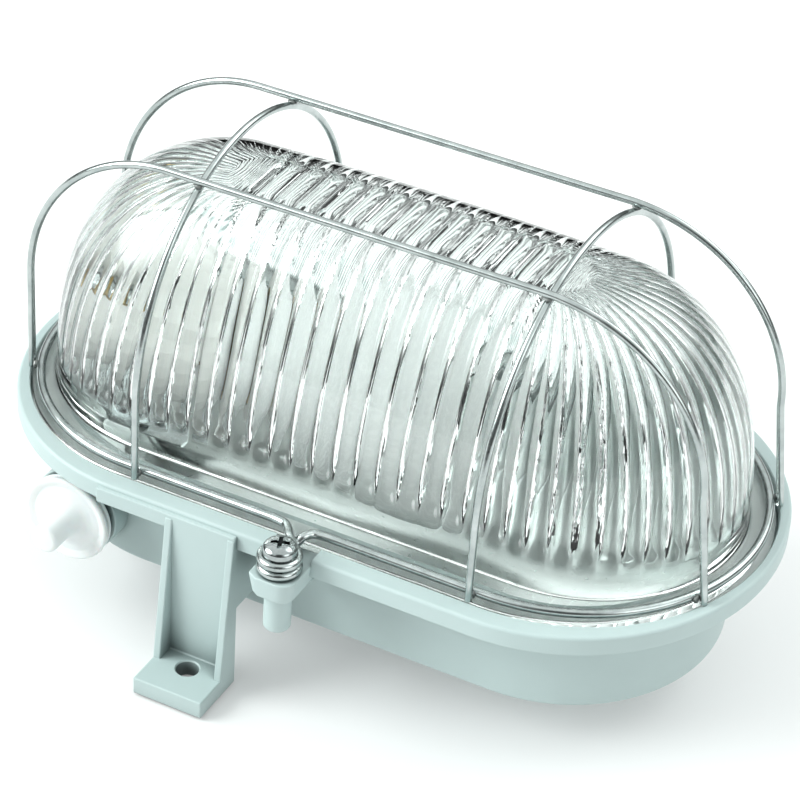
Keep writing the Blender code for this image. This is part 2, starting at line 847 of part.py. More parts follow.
def cross_wire_level(y):
    return ring_z + cross_wire_knee + cross_wire_rise * math.sqrt(1 - (y / cross_wire_foot()) ** 2)


def cross_wire_slope(y):
    share = y / cross_wire_foot()
    return cross_wire_rise / cross_wire_foot() * share / math.sqrt(1 - share ** 2)


def cross_wire_path(side):
    """Upright legs, then half an ellipse over the glass."""
    half = cross_wire_foot()
    knee = ring_z + cross_wire_knee
    front = cross_wire_station(side, -half)
    rear = cross_wire_station(side, half)
    points = [Vector((front, -half, ring_z - ring_radius)), Vector((front, -half, (ring_z + knee) / 2))]
    for step in range(25):
        angle = math.pi * step / 24
        y = -half * math.cos(angle)
        points.append(Vector((cross_wire_station(side, y), y, knee + cross_wire_rise * math.sin(angle))))
    points += [Vector((rear, half, (ring_z + knee) / 2)), Vector((rear, half, ring_z - ring_radius))]
    return points


def long_wire_foot(y):
    """Where a long wire stands beside the ring's round end, one weld gap outside it."""
    end = ring_half_length - straight_half
    cosine = math.sqrt(1 - (y / ring_half_width) ** 2)
    normal = Vector((cosine / end, abs(y) / ring_half_width ** 2)).normalized()
    return straight_half + end * cosine + (ring_radius + touch_gap + cage_radius) / normal.x


def long_wire_sides():
    """Side, length of the bend and lean of the leg; the right legs lean in towards the middle."""
    return ((1, long_wire_bend_right, long_wire_lean), (-1, long_wire_bend_left, 0.0))


def long_wire_top(y):
    """High enough to lie on both cross wires, also where a bend begins before its crossing."""
    knee = ring_z + long_wire_knee
    spacing = (cage_wire_diameter + touch_gap) * math.hypot(1.0, cross_wire_slope(y))
    rise = cross_wire_level(y) + spacing - knee
    rises = []
    for side, bend, lean in long_wire_sides():
        bend_start = long_wire_foot(y) - lean - bend
        share = max(side * cross_wire_station(side, y) - bend_start, 0.0) / bend
        rises.append(rise / math.sqrt(1 - share ** 2))
    return knee + max(rises)


def long_wire_side(y, side, bend, lean):
    """One leg and its bend, from the foot up to the straight top."""
    half = long_wire_foot(y)
    knee = ring_z + long_wire_knee
    rise = long_wire_top(y) - knee
    points = [Vector((side * half, y, ring_z - ring_radius)),
              Vector((side * (half - lean / 2), y, (ring_z + knee) / 2))]
    for step in range(13):
        angle = math.pi / 2 * step / 12
        x = half - lean - bend + bend * math.cos(angle)
        points.append(Vector((side * x, y, knee + rise * math.sin(angle))))
    return points


def long_wire_path(y):
    right, left = (long_wire_side(y, side, bend, lean) for side, bend, lean in long_wire_sides())
    return right + left[::-1]


def build_guard(material):
    ring = wire_object("guard_ring_wire", ring_wire_path(), ring_wire_diameter, material)
    pieces = [ring]
    for name, y in (("guard_long_wire_front", -long_wire_front), ("guard_long_wire_rear", long_wire_rear)):
        pieces.append(wire_object(name, long_wire_path(y), cage_wire_diameter, material))
    for name, side in (("guard_cross_wire_left", -1), ("guard_cross_wire_right", 1)):
        pieces.append(wire_object(name, cross_wire_path(side), cage_wire_diameter, material))
    return pieces


def build_clamp_screw(material):
    head = screw_head_diameter / 2
    shank = screw_shank_diameter / 2
    seat = screw_seat_z
    tip = seat - screw_length
    profile = [(0.0, tip), (shank * 0.4, tip), (shank, tip + 1.6 * MM), (shank, seat), (head, seat)]
    for step in range(1, 6):
        angle = math.radians(18 * step)
        radius = head * (0.82 + 0.18 * math.cos(angle)) * math.cos(angle) ** 0.55
        profile.append((radius if step < 5 else 0.0, seat + screw_head_height * (0.35 + 0.65 * math.sin(angle))))
    profile.insert(5, (head, seat + screw_head_height * 0.3))
    screw = mesh_object("clamp_screw", turned(profile, 24, at_screw()), material, 30)
    arm = 2.4 * MM
    slot = 0.55 * MM
    bottom = seat + screw_head_height * 0.4
    top = seat + screw_head_height + wall
    points = [(slot, slot), (slot, arm), (-slot, arm), (-slot, slot), (-arm, slot), (-arm, -slot),
              (-slot, -slot), (-slot, -arm), (slot, -arm), (slot, -slot), (arm, -slot), (arm, slot)]
    recess = prism(points, "Z", bottom, top)
    recess.transform(at_screw() @ Matrix.Rotation(math.radians(20), 4, "Z"))
    shape_with(screw, tool_object("screw_recess", recess), "DIFFERENCE")
    return screw


def build_grommet(material):
    """Soft cable grommet: stem in the bore, round lip, cone and a closed nipple to be cut open."""
    stem = entry_bore_radius - touch_gap
    lip = grommet_lip_radius
    back = touch_gap
    lip_back = back + grommet_groove_width
    front = lip_back + grommet_lip_thickness
    cone_base = lip - 3.0 * MM
    cone_top = front + grommet_cone_length
    tip = cone_top + nipple_length
    round_off = grommet_lip_thickness / 2
    profile = [(0.0, tip), (nipple_radius - 1.0 * MM, tip), (nipple_radius, tip - 1.0 * MM), (nipple_radius, cone_top),
               (nipple_radius + 1.2 * MM, cone_top - 1.6 * MM), (cone_base, front - 0.5 * MM),
               (cone_base + 0.8 * MM, front - 0.9 * MM)]
    for step in range(5):
        angle = math.radians(90 - 45 * step)
        radius = lip - round_off + round_off * math.cos(angle)
        profile.append((radius, lip_back + round_off + round_off * math.sin(angle)))
    profile += [(grommet_groove_radius, lip_back), (grommet_groove_radius, back), (stem, back),
                (stem, back - grommet_stem_length), (stem - grommet_wall, back - grommet_stem_length),
                (stem - grommet_wall, back), (nipple_radius - grommet_wall + 0.6 * MM, cone_top - grommet_wall),
                (nipple_radius - grommet_wall, cone_top), (nipple_radius - grommet_wall, tip - grommet_wall),
                (0.0, tip - grommet_wall)]
    return mesh_object("cable_grommet", turned(profile, 26, at_entry()), material, 40)


# Lampholder and bulb

def along_lamp(x):
    """Turns Z to +X, starting at the given station on the lamp's axis."""
    return Matrix.Translation((x, 0.0, lamp_axis_z)) @ Matrix.Rotation(math.pi / 2, 4, "Y")


def build_bracket(material):
    """Steel angle: a foot on the two posts and an upright behind the holder."""
    back = holder_back_x - touch_gap - bracket_thickness
    front = holder_back_x - touch_gap
    top = lamp_axis_z + holder_base_radius - 2.0 * MM
    half = bracket_width / 2
    points = [(back, bracket_z), (back, top), (front, top), (front, bracket_z + bracket_thickness),
              (back + bracket_foot_length, bracket_z + bracket_thickness), (back + bracket_foot_length, bracket_z)]
    bracket = mesh_object("lampholder_bracket", prism(points, "Y", -half, half), material)
    clearance = small_screw_diameter / 2 + touch_gap
    for index, (x, y) in enumerate(post_places()):
        hole = cylinder(clearance, bracket_z - wall, bracket_z + wall, 12, Matrix.Translation((x, y, 0.0)))
        shape_with(bracket, tool_object(f"bracket_hole_{index}", hole), "DIFFERENCE")
    for index, z in enumerate(holder_screw_offsets()):
        place = along_lamp(holder_back_x) @ Matrix.Translation((z, 0.0, 0.0))
        hole = cylinder(clearance, -3 * bracket_thickness, bracket_thickness, 12, place)
        shape_with(bracket, tool_object(f"holder_hole_{index}", hole), "DIFFERENCE")
    return bracket


def holder_screw_offsets():
    return (-holder_base_radius / 2, holder_base_radius / 2)


def small_screw(name, length, matrix, material):
    """Cheese-head screw; its head's underside lies at height zero and its shank points down."""
    head = small_head_diameter / 2
    shank = small_screw_diameter / 2
    profile = [(0.0, -length), (shank, -length), (shank, 0.0), (head, 0.0), (head, small_head_height * 0.75),
               (head * 0.8, small_head_height), (0.0, small_head_height)]
    screw = mesh_object(name, turned(profile, 16, matrix), material, 30)
    slot = box((-head * 1.2, head * 1.2), (-0.4 * MM, 0.4 * MM), (small_head_height * 0.5, 2 * small_head_height))
    slot.transform(matrix)
    shape_with(screw, tool_object(name + "_slot", slot), "DIFFERENCE")
    return screw


def terminal_places():
    return (("live", -terminal_y), ("neutral", terminal_y))


def build_lampholder(porcelain, brass, steel):
    socket_bottom = holder_base_length + holder_step
    profile = [(0.0, 0.0), (holder_base_radius, 0.0), (holder_base_radius, holder_base_length),
               (holder_radius, socket_bottom), (holder_radius, holder_length - 1.0 * MM),
               (holder_radius - 1.0 * MM, holder_length), (holder_socket_radius, holder_length),
               (holder_socket_radius, socket_bottom), (0.0, socket_bottom)]
    holder = mesh_object("lampholder_body", turned(profile, 32, along_lamp(holder_back_x)), porcelain, 35)
    pocket = terminal_size / 2 + touch_gap
    pocket_start = holder_back_x + 2.0 * MM
    pocket_end = pocket_start + terminal_length + 2 * touch_gap
    for name, y in terminal_places():
        top = lamp_axis_z + holder_base_radius + wall
        cut = box((pocket_start, pocket_end), (y - pocket, y + pocket), (lamp_axis_z + 3.0 * MM, top))
        shape_with(holder, tool_object(f"pocket_{name}", cut), "DIFFERENCE")
        half = terminal_size / 2
        bottom = lamp_axis_z + 3.0 * MM + touch_gap
        block = mesh_object(f"terminal_block_{name}", box(
            (pocket_start + touch_gap, pocket_start + touch_gap + terminal_length), (y - half, y + half),
            (bottom, bottom + terminal_size)), brass)
        middle = (pocket_start + pocket_end) / 2
        place = Matrix.Translation((middle, y, bottom + terminal_size + touch_gap))
        hole = cylinder(small_screw_diameter / 2 + touch_gap, -terminal_size * 0.7, wall, 12, place)
        shape_with(block, tool_object(f"terminal_hole_{name}", hole), "DIFFERENCE")
        small_screw(f"terminal_screw_{name}", terminal_size * 0.55, place, steel)
    for index, offset in enumerate(holder_screw_offsets()):
        place = along_lamp(holder_back_x) @ Matrix.Translation((offset, 0.0, 0.0))
        hole = cylinder(small_screw_diameter / 2 + touch_gap, -wall, holder_screw_hole_depth, 12, place)
        shape_with(holder, tool_object(f"body_hole_{index}", hole), "DIFFERENCE")
    shell_outer = holder_socket_radius - touch_gap
    shell_inner = shell_outer - shell_thickness
    start = socket_bottom + touch_gap
    shell_profile = [(shell_outer, start), (shell_outer, start + shell_length), (shell_inner, start + shell_length),
                     (shell_inner, start + shell_thickness), (cap_radius / 2, start + shell_thickness),
                     (cap_radius / 2, start), (shell_outer, start)]
    shell = turned_ring(shell_profile[:-1], 32, along_lamp(holder_back_x))
    mesh_object("lampholder_shell", shell, brass, 40)
    return holder


def turned_ring(profile, steps, matrix):
    """Revolve a closed section that stays clear of the axis."""
    body = bmesh.new()
    rings = []
    for step in range(steps):
        angle = 2 * math.pi * step / steps
        rings.append([body.verts.new((r * math.cos(angle), r * math.sin(angle), h)) for r, h in profile])
    count = len(profile)
    for i, ring in enumerate(rings):
        following = rings[(i + 1) % steps]
        for j in range(count):
            k = (j + 1) % count
            body.faces.new((ring[j], ring[k], following[k], following[j]))
    bmesh.ops.recalc_face_normals(body, faces=body.faces)
    body.transform(matrix)
    return body


def cap_tip_x():
    socket_bottom = holder_back_x + holder_base_length + holder_step
    return socket_bottom + 2 * touch_gap + 2 * contact_thickness + 1.6 * MM


def build_centre_contact(material):
    """A brass tongue folded up from the socket's floor to meet the bulb's tip."""
    floor_x = holder_back_x + holder_base_length + holder_step + touch_gap
    tip_x = cap_tip_x() - touch_gap
    thick = contact_thickness
    reach = cap_radius / 2 - 1.0 * MM
    centre = lamp_axis_z
    points = [(floor_x, centre - reach), (floor_x, centre + reach), (floor_x + thick, centre + reach),
              (floor_x + thick, centre - reach + thick), (tip_x - thick, centre - thick), (tip_x - thick, centre + thick),
              (tip_x, centre + thick), (tip_x, centre - 2 * thick), (floor_x + thick + 0.4 * MM, centre - reach)]
    half = 2.0 * MM
    flat = [(x, z) for x, z in points]
    return mesh_object("centre_contact", prism(flat, "Y", -half, half), material)


def build_bulb(material):
    """One closed body: cap, neck and round envelope, tip at height zero."""
    sphere_centre = bulb_length - bulb_radius
    neck_start = cap_length + 3.0 * MM
    profile = [(0.0, 0.0), (4.5 * MM, 0.0), (5.0 * MM, 1.0 * MM), (cap_radius - 1.5 * MM, 3.0 * MM),
               (cap_radius, 4.5 * MM), (cap_radius, cap_length), (bulb_neck_radius, neck_start)]
    join = math.radians(-38)
    join_radius = bulb_radius * math.cos(join)
    join_height = sphere_centre + bulb_radius * math.sin(join)
    for step in range(1, 4):
        t = step / 4
        ease = t * t * (3 - 2 * t)
        profile.append((bulb_neck_radius + (join_radius - bulb_neck_radius) * (0.55 * ease + 0.45 * t),
                        neck_start + (join_height - neck_start) * t))
    for step in range(10):
        angle = join + (math.pi / 2 - join) * step / 9
        radius = bulb_radius * math.cos(angle) if step < 9 else 0.0
        profile.append((radius, sphere_centre + bulb_radius * math.sin(angle)))
    return mesh_object("bulb", turned(profile, 28, along_lamp(cap_tip_x())), material, 40)


def build_all():
    clear_scene()
    plastic = make_material("base_plastic", (0.55, 0.62, 0.61), 0.45)
    rubber = make_material("gasket_rubber", (0.75, 0.78, 0.77), 0.7)
    soft = make_material("grommet_soft_plastic", (0.86, 0.88, 0.87), 0.55)
    glass = make_material("clear_glass", (0.93, 0.98, 0.97), 0.02, 0.0, 0.95)
    zinc = make_material("zinc_plated_steel", (0.68, 0.72, 0.72), 0.25, 1.0)
    brass = make_material("brass", (0.80, 0.63, 0.30), 0.3, 1.0)
    porcelain = make_material("porcelain", (0.90, 0.90, 0.87), 0.2)
    opal = make_material("opal_bulb", (0.93, 0.94, 0.92), 0.35)
    build_housing(plastic)
    build_gasket(rubber)
    build_glass(glass)
    build_guard(zinc)
    build_clamp_screw(zinc)
    build_grommet(soft)
    build_bracket(zinc)
    for name, (x, y) in zip(("bracket_screw_front", "bracket_screw_rear"), post_places()):
        place = Matrix.Translation((x, y, bracket_z + bracket_thickness + touch_gap))
        small_screw(name, 8.0 * MM, place, zinc)
    build_lampholder(porcelain, brass, zinc)
    seat = holder_back_x - bracket_thickness - 2 * touch_gap
    for name, offset in zip(("holder_screw_upper", "holder_screw_lower"), holder_screw_offsets()):
        place = along_lamp(seat) @ Matrix.Translation((offset, 0.0, 0.0)) @ Matrix.Rotation(math.pi, 4, "X")
        small_screw(name, holder_screw_length, place, zinc)
    build_centre_contact(brass)
    build_bulb(opal)


build_all()
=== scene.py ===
"""Dressing of the oval bulkhead light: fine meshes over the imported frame, finishes, soft light and camera.

Shapes are worked out in millimetres; mesh_piece and wire_piece turn them into metres.
Finishes, light and camera are in metres.
"""
import math

import bmesh
import bpy
from mathutils import Matrix, Vector, noise


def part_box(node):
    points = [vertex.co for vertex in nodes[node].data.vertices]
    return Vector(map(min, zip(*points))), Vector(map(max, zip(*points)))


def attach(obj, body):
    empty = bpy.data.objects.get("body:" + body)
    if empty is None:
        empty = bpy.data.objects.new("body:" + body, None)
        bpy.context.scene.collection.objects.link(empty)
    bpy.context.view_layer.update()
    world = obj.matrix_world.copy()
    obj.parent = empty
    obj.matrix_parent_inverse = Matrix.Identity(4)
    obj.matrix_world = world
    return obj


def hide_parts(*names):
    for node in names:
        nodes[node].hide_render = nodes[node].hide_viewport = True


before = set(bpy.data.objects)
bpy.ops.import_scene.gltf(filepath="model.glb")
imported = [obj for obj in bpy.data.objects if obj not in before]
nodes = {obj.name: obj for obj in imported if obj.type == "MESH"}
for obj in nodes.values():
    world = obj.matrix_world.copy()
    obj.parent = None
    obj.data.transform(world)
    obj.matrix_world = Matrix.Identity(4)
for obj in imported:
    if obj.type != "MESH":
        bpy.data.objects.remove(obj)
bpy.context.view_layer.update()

MM = 0.001
scene = bpy.context.scene


# Sizes of the housing, as in the frame

rim_half_length, rim_half_width = 105.3, 60.0
straight_half = 50.4
oval_steps = 64
tub_half_length, tub_half_width = 93.0, 44.5
stand_off, wall = 14.2, 2.5
shelf_z = 40.9
rebate_floor_z = shelf_z + wall
rim_top_z = 48.5
skirt_bottom_z = 43.2
rebate_half_length, rebate_half_width = 102.6, 54.6
tub_edge_radius, rim_edge_radius = 1.6, 1.0
plastic_edge = 0.35
leg_x, leg_width, leg_face_y, leg_web = -23.65, 19.9, -61.3, 2.3
foot_reach, foot_thickness = 15.0, 5.0
foot_hole_y, foot_hole_radius = 66.0, 3.0
cheek_width, cheek_depth, cheek_tie_z = 2.0, 5.6, 24.1
screw_x, screw_y = 1.0, -65.0
tongue_reach, tongue_half_width, tongue_top_z, tongue_bottom_z = 6.0, 6.2, 46.5, 40.3
tongue_bevel, tongue_corner_radius, tongue_taper = 2.6, 4.0, 0.15
boss_radius, boss_bottom_z, boss_top_z = 3.5, 29.0, 43.4
hook_half_width, hook_thickness, hook_clearance = 6.5, 2.4, 0.5
entry_x, entry_z, entry_face_y = -66.8, 28.6, -50.6
entry_radius, entry_depth, entry_hole_radius, entry_hole_depth = 12.0, 18.6, 8.5, 22.7
post_x, post_y, post_radius, post_top_z, post_hole_radius = -74.5, 6.5, 4.0, 25.7, 1.9

# Sizes of the glass

flange_half_length, flange_half_width = 101.0, 54.0
flange_top_z, flange_thickness = 48.5, 3.0
glass_shift = 1.0
glass_half_length, glass_half_width = 96.2, 42.0
glass_height, glass_crown = 65.3, 0.05
glass_crest_half_length, glass_crest_half_width = 50.5, 9.0
end_roundness, side_roundness = 2.56, 1.87
glass_wall = 3.2
rib_pitch, rib_depth = 6.0, 1.8
rib_radius = ((rib_pitch / 2) ** 2 + rib_depth ** 2) / (2 * rib_depth)
rib_start, rib_fade = 8.0, 4.5
plain_half = 41.5
foot_end = glass_half_length - glass_half_width - plain_half + glass_half_width * math.pi / 2
glass_columns, outer_levels, inner_levels, crest_steps = 600, 20, 38, 6
crest_bow = 0.1

# Sizes of the guard

ring_radius, cage_radius, weld_gap = 1.2, 1.0, 0.3
ring_z = 50.0
ring_half_length, ring_half_width = 100.0, 51.5
hinge_y, hinge_z, hinge_bar_half, hinge_bend_radius = 63.2, 47.0, 10.0, 3.0
cross_wire_x, cross_wire_skew, cross_wire_knee, cross_wire_rise = 47.0, 4.1, 20.0, 55.0
cross_foot = ring_half_width + ring_radius + weld_gap + cage_radius
long_wire_front, long_wire_rear, long_wire_knee = -25.2, 22.5, 28.0
long_wire_sides = ((1, 46.5, 3.8), (-1, 41.0, 0.0))    # side, radius of the bend, lean of the leg
eye_bend_radius, eye_sweep = 4.6, 250.0
upper_eye_z, lower_eye_z, screw_seat_z = 50.7, 48.0, 52.2
upper_eye_end, lower_eye_start = 35.0, 158.0
leg_steps, eye_steps, smooth_steps = 6, 44, 8


# Helpers for the nodes of a finish

def new_material(name):
    material = bpy.data.materials.new(name)
    material.use_nodes = True
    tree = material.node_tree
    return material, tree, tree.nodes["Principled BSDF"]


def set_inputs(node, values):
    for key, value in values.items():
        node.inputs[key].default_value = value


def add(tree, kind, inputs=None, **settings):
    node = tree.nodes.new(kind)
    for key, value in settings.items():
        setattr(node, key, value)
    set_inputs(node, inputs or {})
    return node


def noise_value(tree, scale, detail, roughness=0.5):
    """Noise over the object's own coordinates."""
    where = add(tree, "ShaderNodeTexCoord")
    texture = add(tree, "ShaderNodeTexNoise", {"Scale": scale, "Detail": detail, "Roughness": roughness})
    tree.links.new(where.outputs["Object"], texture.inputs["Vector"])
    return texture.outputs["Fac"]


def ramp(tree, value, stops):
    node = add(tree, "ShaderNodeValToRGB")
    for element, (position, colour) in zip(node.color_ramp.elements, stops):
        element.position = position
        element.color = (*colour, 1.0)
    tree.links.new(value, node.inputs["Fac"])
    return node.outputs["Color"]


def spread(tree, value, low, high):
    """Map 0..1 to low..high."""
    node = add(tree, "ShaderNodeMapRange", {"To Min": low, "To Max": high})
    tree.links.new(value, node.inputs["Value"])
    return node.outputs["Result"]


def bump(tree, shader, height, distance):
    node = add(tree, "ShaderNodeBump", {"Distance": distance, "Strength": 1.0})
    tree.links.new(height, node.inputs["Height"])
    tree.links.new(node.outputs["Normal"], shader.inputs["Normal"])


# Finishes

def speckled(name, dark, light, drift, rough, grain, relief, metallic=0.0):
    """Slow colour drift, uneven gloss and fine grain; drift and grain are noise scales, relief a depth."""
    material, tree, shader = new_material(name)
    slow = noise_value(tree, drift, 4.0, 0.6)
    tree.links.new(ramp(tree, slow, [(0.3, dark), (0.7, light)]), shader.inputs["Base Color"])
    fine = noise_value(tree, grain, 2.0)
    tree.links.new(spread(tree, fine, *rough), shader.inputs["Roughness"])
    set_inputs(shader, {"Metallic": metallic})
    bump(tree, shader, fine, relief)
    return material


def paint_shade_in_corners(material, reach, darkest_shade):
    """Painted shade: ambient occlusion darkens the base colour in the narrow gaps and inner corners of a
    moulding, where shade falls.
    """
    tree = material.node_tree
    shader = tree.nodes["Principled BSDF"]
    colour = shader.inputs["Base Color"].links[0].from_socket
    # Painted shade: occlusion within the reach multiplies a darker colour into the base colour.
    corner_occlusion = add(tree, "ShaderNodeAmbientOcclusion", {"Distance": reach}, samples=16)
    depth = ramp(tree, corner_occlusion.outputs["AO"], [(0.18, darkest_shade), (0.60, (1.0, 1.0, 1.0))])
    mix = add(tree, "ShaderNodeMix", {"Factor": 1.0}, data_type="RGBA", blend_type="MULTIPLY")
    tree.links.new(colour, mix.inputs["A"])
    tree.links.new(depth, mix.inputs["B"])
    tree.links.new(mix.outputs["Result"], shader.inputs["Base Color"])


def moulded(name):
    """Pale green-grey moulded plastic."""
    return speckled(name, dark=(0.420, 0.510, 0.505), light=(0.450, 0.545, 0.540), drift=22.0,
                    rough=(0.40, 0.50), grain=2600.0, relief=0.00004)


# Moulded plastic with painted shade in its gaps and inner corners.
def shaded_plastic():
    material = moulded("base_plastic")
    paint_shade_in_corners(material, 0.016, (0.12, 0.14, 0.14))
    return material


def soft_plastic():
    material = speckled("soft_plastic", dark=(0.73, 0.76, 0.76), light=(0.79, 0.82, 0.82), drift=60.0,
                        rough=(0.42, 0.55), grain=1800.0, relief=0.00003)
    shader = material.node_tree.nodes["Principled BSDF"]
    set_inputs(shader, {"Subsurface Weight": 0.10, "Subsurface Scale": 0.004})
    return material


def pressed_glass():
    """Clear glass with a slow wave in its surface."""
    material, tree, shader = new_material("clear_glass")
    set_inputs(shader, {"Base Color": (0.955, 0.985, 0.975, 1.0), "Roughness": 0.0, "IOR": 1.5,
                        "Transmission Weight": 1.0})
    bump(tree, shader, noise_value(tree, 55.0, 1.0), 0.00035)
    return material


plastic = shaded_plastic()
# The same plastic without the painted corner shade, for the rebate under the glass.
unshaded_plastic = moulded("base_under_glass")
plated_inside = speckled("base_inside", dark=(0.86, 0.90, 0.89), light=(0.90, 0.93, 0.92), drift=22.0,
                         rough=(0.24, 0.34), grain=600.0, relief=0.00003, metallic=1.0)
soft_white = soft_plastic()
gasket_rubber = speckled("gasket_rubber", dark=(0.66, 0.70, 0.69), light=(0.73, 0.77, 0.76), drift=90.0,
                         rough=(0.6, 0.75), grain=1500.0, relief=0.00005)
zinc_wire = speckled("guard_wire", dark=(0.36, 0.40, 0.395), light=(0.54, 0.58, 0.575), drift=160.0,
                     rough=(0.14, 0.28), grain=900.0, relief=0.000012, metallic=1.0)
zinc = speckled("plated_steel", dark=(0.42, 0.45, 0.45), light=(0.62, 0.65, 0.65), drift=220.0,
                rough=(0.12, 0.24), grain=1400.0, relief=0.00002, metallic=1.0)
chrome = speckled("screw_plating", dark=(0.30, 0.33, 0.33), light=(0.46, 0.49, 0.49), drift=260.0,
                  rough=(0.05, 0.13), grain=1400.0, relief=0.00001, metallic=1.0)
weld = speckled("weld_scale", dark=(0.10, 0.11, 0.11), light=(0.34, 0.35, 0.34), drift=700.0,
                rough=(0.35, 0.6), grain=1500.0, relief=0.00006, metallic=0.8)
brass = speckled("brass", dark=(0.60, 0.42, 0.16), light=(0.78, 0.60, 0.28), drift=150.0,
                 rough=(0.22, 0.38), grain=1200.0, relief=0.00002, metallic=1.0)
porcelain = speckled("porcelain", dark=(0.78, 0.78, 0.75), light=(0.84, 0.84, 0.81), drift=70.0,
                     rough=(0.12, 0.22), grain=500.0, relief=0.00002)
opal = speckled("opal_bulb", dark=(0.88, 0.90, 0.89), light=(0.92, 0.94, 0.93), drift=40.0,
                rough=(0.22, 0.32), grain=900.0, relief=0.00001)
clear_glass = pressed_glass()


# Helpers for meshes

def new_object(name, data):
    item = bpy.data.objects.new(name, data)
    scene.collection.objects.link(item)
    return item


def mesh_object(name, body):
    """Store a bmesh as an object and free it."""
    mesh = bpy.data.meshes.new(name)
    body.to_mesh(mesh)
    body.free()
    return new_object(name, mesh)


def mesh_piece(name, body, material, body_name, replaced, sharp_angle):
    """Turn a bmesh in millimetres into a visible piece, smooth up to the sharp angle."""
    piece = mesh_object(name, body)
    mesh = piece.data
    mesh.transform(Matrix.Scale(MM, 4))
    mesh.shade_smooth()
    mesh.set_sharp_from_angle(angle=math.radians(sharp_angle))
    mesh.materials.append(material)
    return settle(piece, body_name, replaced)


def settle(piece, body_name, replaced):
    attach(piece, body_name)
    if replaced:
        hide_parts(*replaced)
    return piece


def quarter_turn(steps):
    """Angles from 0 to 90 degrees, both ends included."""
    return [math.radians(90 * step / steps) for step in range(steps + 1)]


def half_oval(side, half_length, half_width, z):
    """The round end of an oval on one side, anticlockwise seen from above."""
    end = half_length - straight_half
    points = []
    for step in range(oval_steps + 1):
        angle = math.pi * (step / oval_steps - 0.5)
        x = side * (straight_half + end * math.cos(angle))
        points.append(Vector((x, side * half_width * math.sin(angle), z)))
    return points


def outline(half_length, half_width, z):
    """An oval seen from above, anticlockwise, with straight sides and elliptical ends."""
    return half_oval(1, half_length, half_width, z) + half_oval(-1, half_length, half_width, z)


def bridge(body, lower, upper):
    """A band of faces between two closed rings of points."""
    count = len(lower)
    for i in range(count):
        j = (i + 1) % count
        body.faces.new((lower[i], lower[j], upper[j], upper[i]))


def loft(loops):
    """A solid through rings of points, closed at both ends."""
    body = bmesh.new()
    rings = [[body.verts.new(point) for point in loop] for loop in loops]
    for lower, upper in zip(rings, rings[1:]):
        bridge(body, lower, upper)
    body.faces.new(list(reversed(rings[0])))
    body.faces.new(rings[-1])
    bmesh.ops.recalc_face_normals(body, faces=body.faces)
    return body


def loft_ovals(profile):
    return loft([outline(*level) for level in profile])


def prism(points, axis, low, high):
    """A flat outline drawn out along an axis; its points have the other two coordinates."""
    def at(point, depth):
        values = list(point)
        values.insert("XYZ".index(axis), depth)
        return Vector(values)

    return loft([[at(p, low) for p in points], [at(p, high) for p in points]])


def box(x_range, y_range, z_range):
    (a, b), (c, d) = x_range, y_range
    return prism([(a, c), (b, c), (b, d), (a, d)], "Z", *z_range)


def soften(body, radius, angle=25.0):
    """Round every sharp edge of a plain solid."""
    body.normal_update()
    sharp = math.radians(angle)
    edges = [e for e in body.edges if len(e.link_faces) == 2 and e.calc_face_angle(0.0) > sharp]
    bmesh.ops.bevel(body, geom=edges, offset=radius, offset_type="OFFSET", segments=3, profile=0.5,
                    affect="EDGES", clamp_overlap=True)
    return body


def turned(profile, steps, matrix=None):
    """Revolve (radius, height) points round Z; a point at radius zero closes the end."""
    body = bmesh.new()
    turns = [2 * math.pi * step / steps for step in range(steps)]
    rings = []
    for radius, height in profile:
        if radius == 0.0:
            rings.append([body.verts.new((0.0, 0.0, height))])
        else:
            ring = [(radius * math.cos(turn), radius * math.sin(turn), height) for turn in turns]
            rings.append([body.verts.new(point) for point in ring])
    for first, second in zip(rings, rings[1:]):
        for i in range(steps):
            j = (i + 1) % steps
            corners = (first[i % len(first)], first[j % len(first)],
                       second[j % len(second)], second[i % len(second)])
            face = list(dict.fromkeys(corners))
            if len(face) > 2:
                body.faces.new(face)
    bmesh.ops.recalc_face_normals(body, faces=body.faces)
    if matrix is not None:
        body.transform(matrix)
    return body


def cylinder(radius, low, high, steps, matrix):
    return turned([(0.0, low), (radius, low), (radius, high), (0.0, high)], steps, matrix)


def rounded_rod(radius, low, high, edge, steps):
    """Profile of a rod from low to high with arcs of a few steps at its two edges."""
    points = [Vector(p) for p in ((0.0, low), (radius, low), (radius, high), (0.0, high))]
    out = [tuple(points[0])]
    for before, corner, after in zip(points, points[1:], points[2:]):
        cut = min(edge, (before - corner).length * 0.45, (after - corner).length * 0.45)
        start = corner + (before - corner).normalized() * cut
        end = corner + (after - corner).normalized() * cut
        for step in range(steps + 1):
            t = step / steps
            p = start * (1 - t) ** 2 + corner * 2 * t * (1 - t) + end * t ** 2
            out.append((p.x, p.y))
    out.append(tuple(points[-1]))
    return out


def close_up(body):
    """Weld points that lie on each other, drop faces folded onto one another and close what that opens."""
    bmesh.ops.remove_doubles(body, verts=body.verts, dist=0.004)
    bmesh.ops.dissolve_degenerate(body, edges=body.edges, dist=0.002)
    same = {}
    for face in body.faces:
        same.setdefault(frozenset(face.verts), []).append(face)
    folded = [face for group in same.values() if len(group) > 1 for face in group]
    bmesh.ops.delete(body, geom=folded, context="FACES")
    bmesh.ops.holes_fill(body, edges=[edge for edge in body.edges if edge.is_boundary], sides=0)
    bmesh.ops.recalc_face_normals(body, faces=body.faces)


def combine(name, base, steps):
    """Boolean a row of (operation, bmesh) onto a base bmesh and return the result as a bmesh."""
    target = mesh_object(name + "_raw", base)
    tools = []
    for index, (operation, body) in enumerate(steps):
        tool = mesh_object(f"{name}_tool_{index}", body)
        tools.append(tool)
        modifier = target.modifiers.new(tool.name, "BOOLEAN")
        modifier.operation = operation
        modifier.solver = "EXACT"
        modifier.object = tool
    result = bpy.data.meshes.new_from_object(target.evaluated_get(bpy.context.evaluated_depsgraph_get()))
    body = bmesh.new()
    body.from_mesh(result)
    for item in [target] + tools:
        old = item.data
        bpy.data.objects.remove(item, do_unlink=True)
        bpy.data.meshes.remove(old)
    bpy.data.meshes.remove(result)
    close_up(body)
    return body


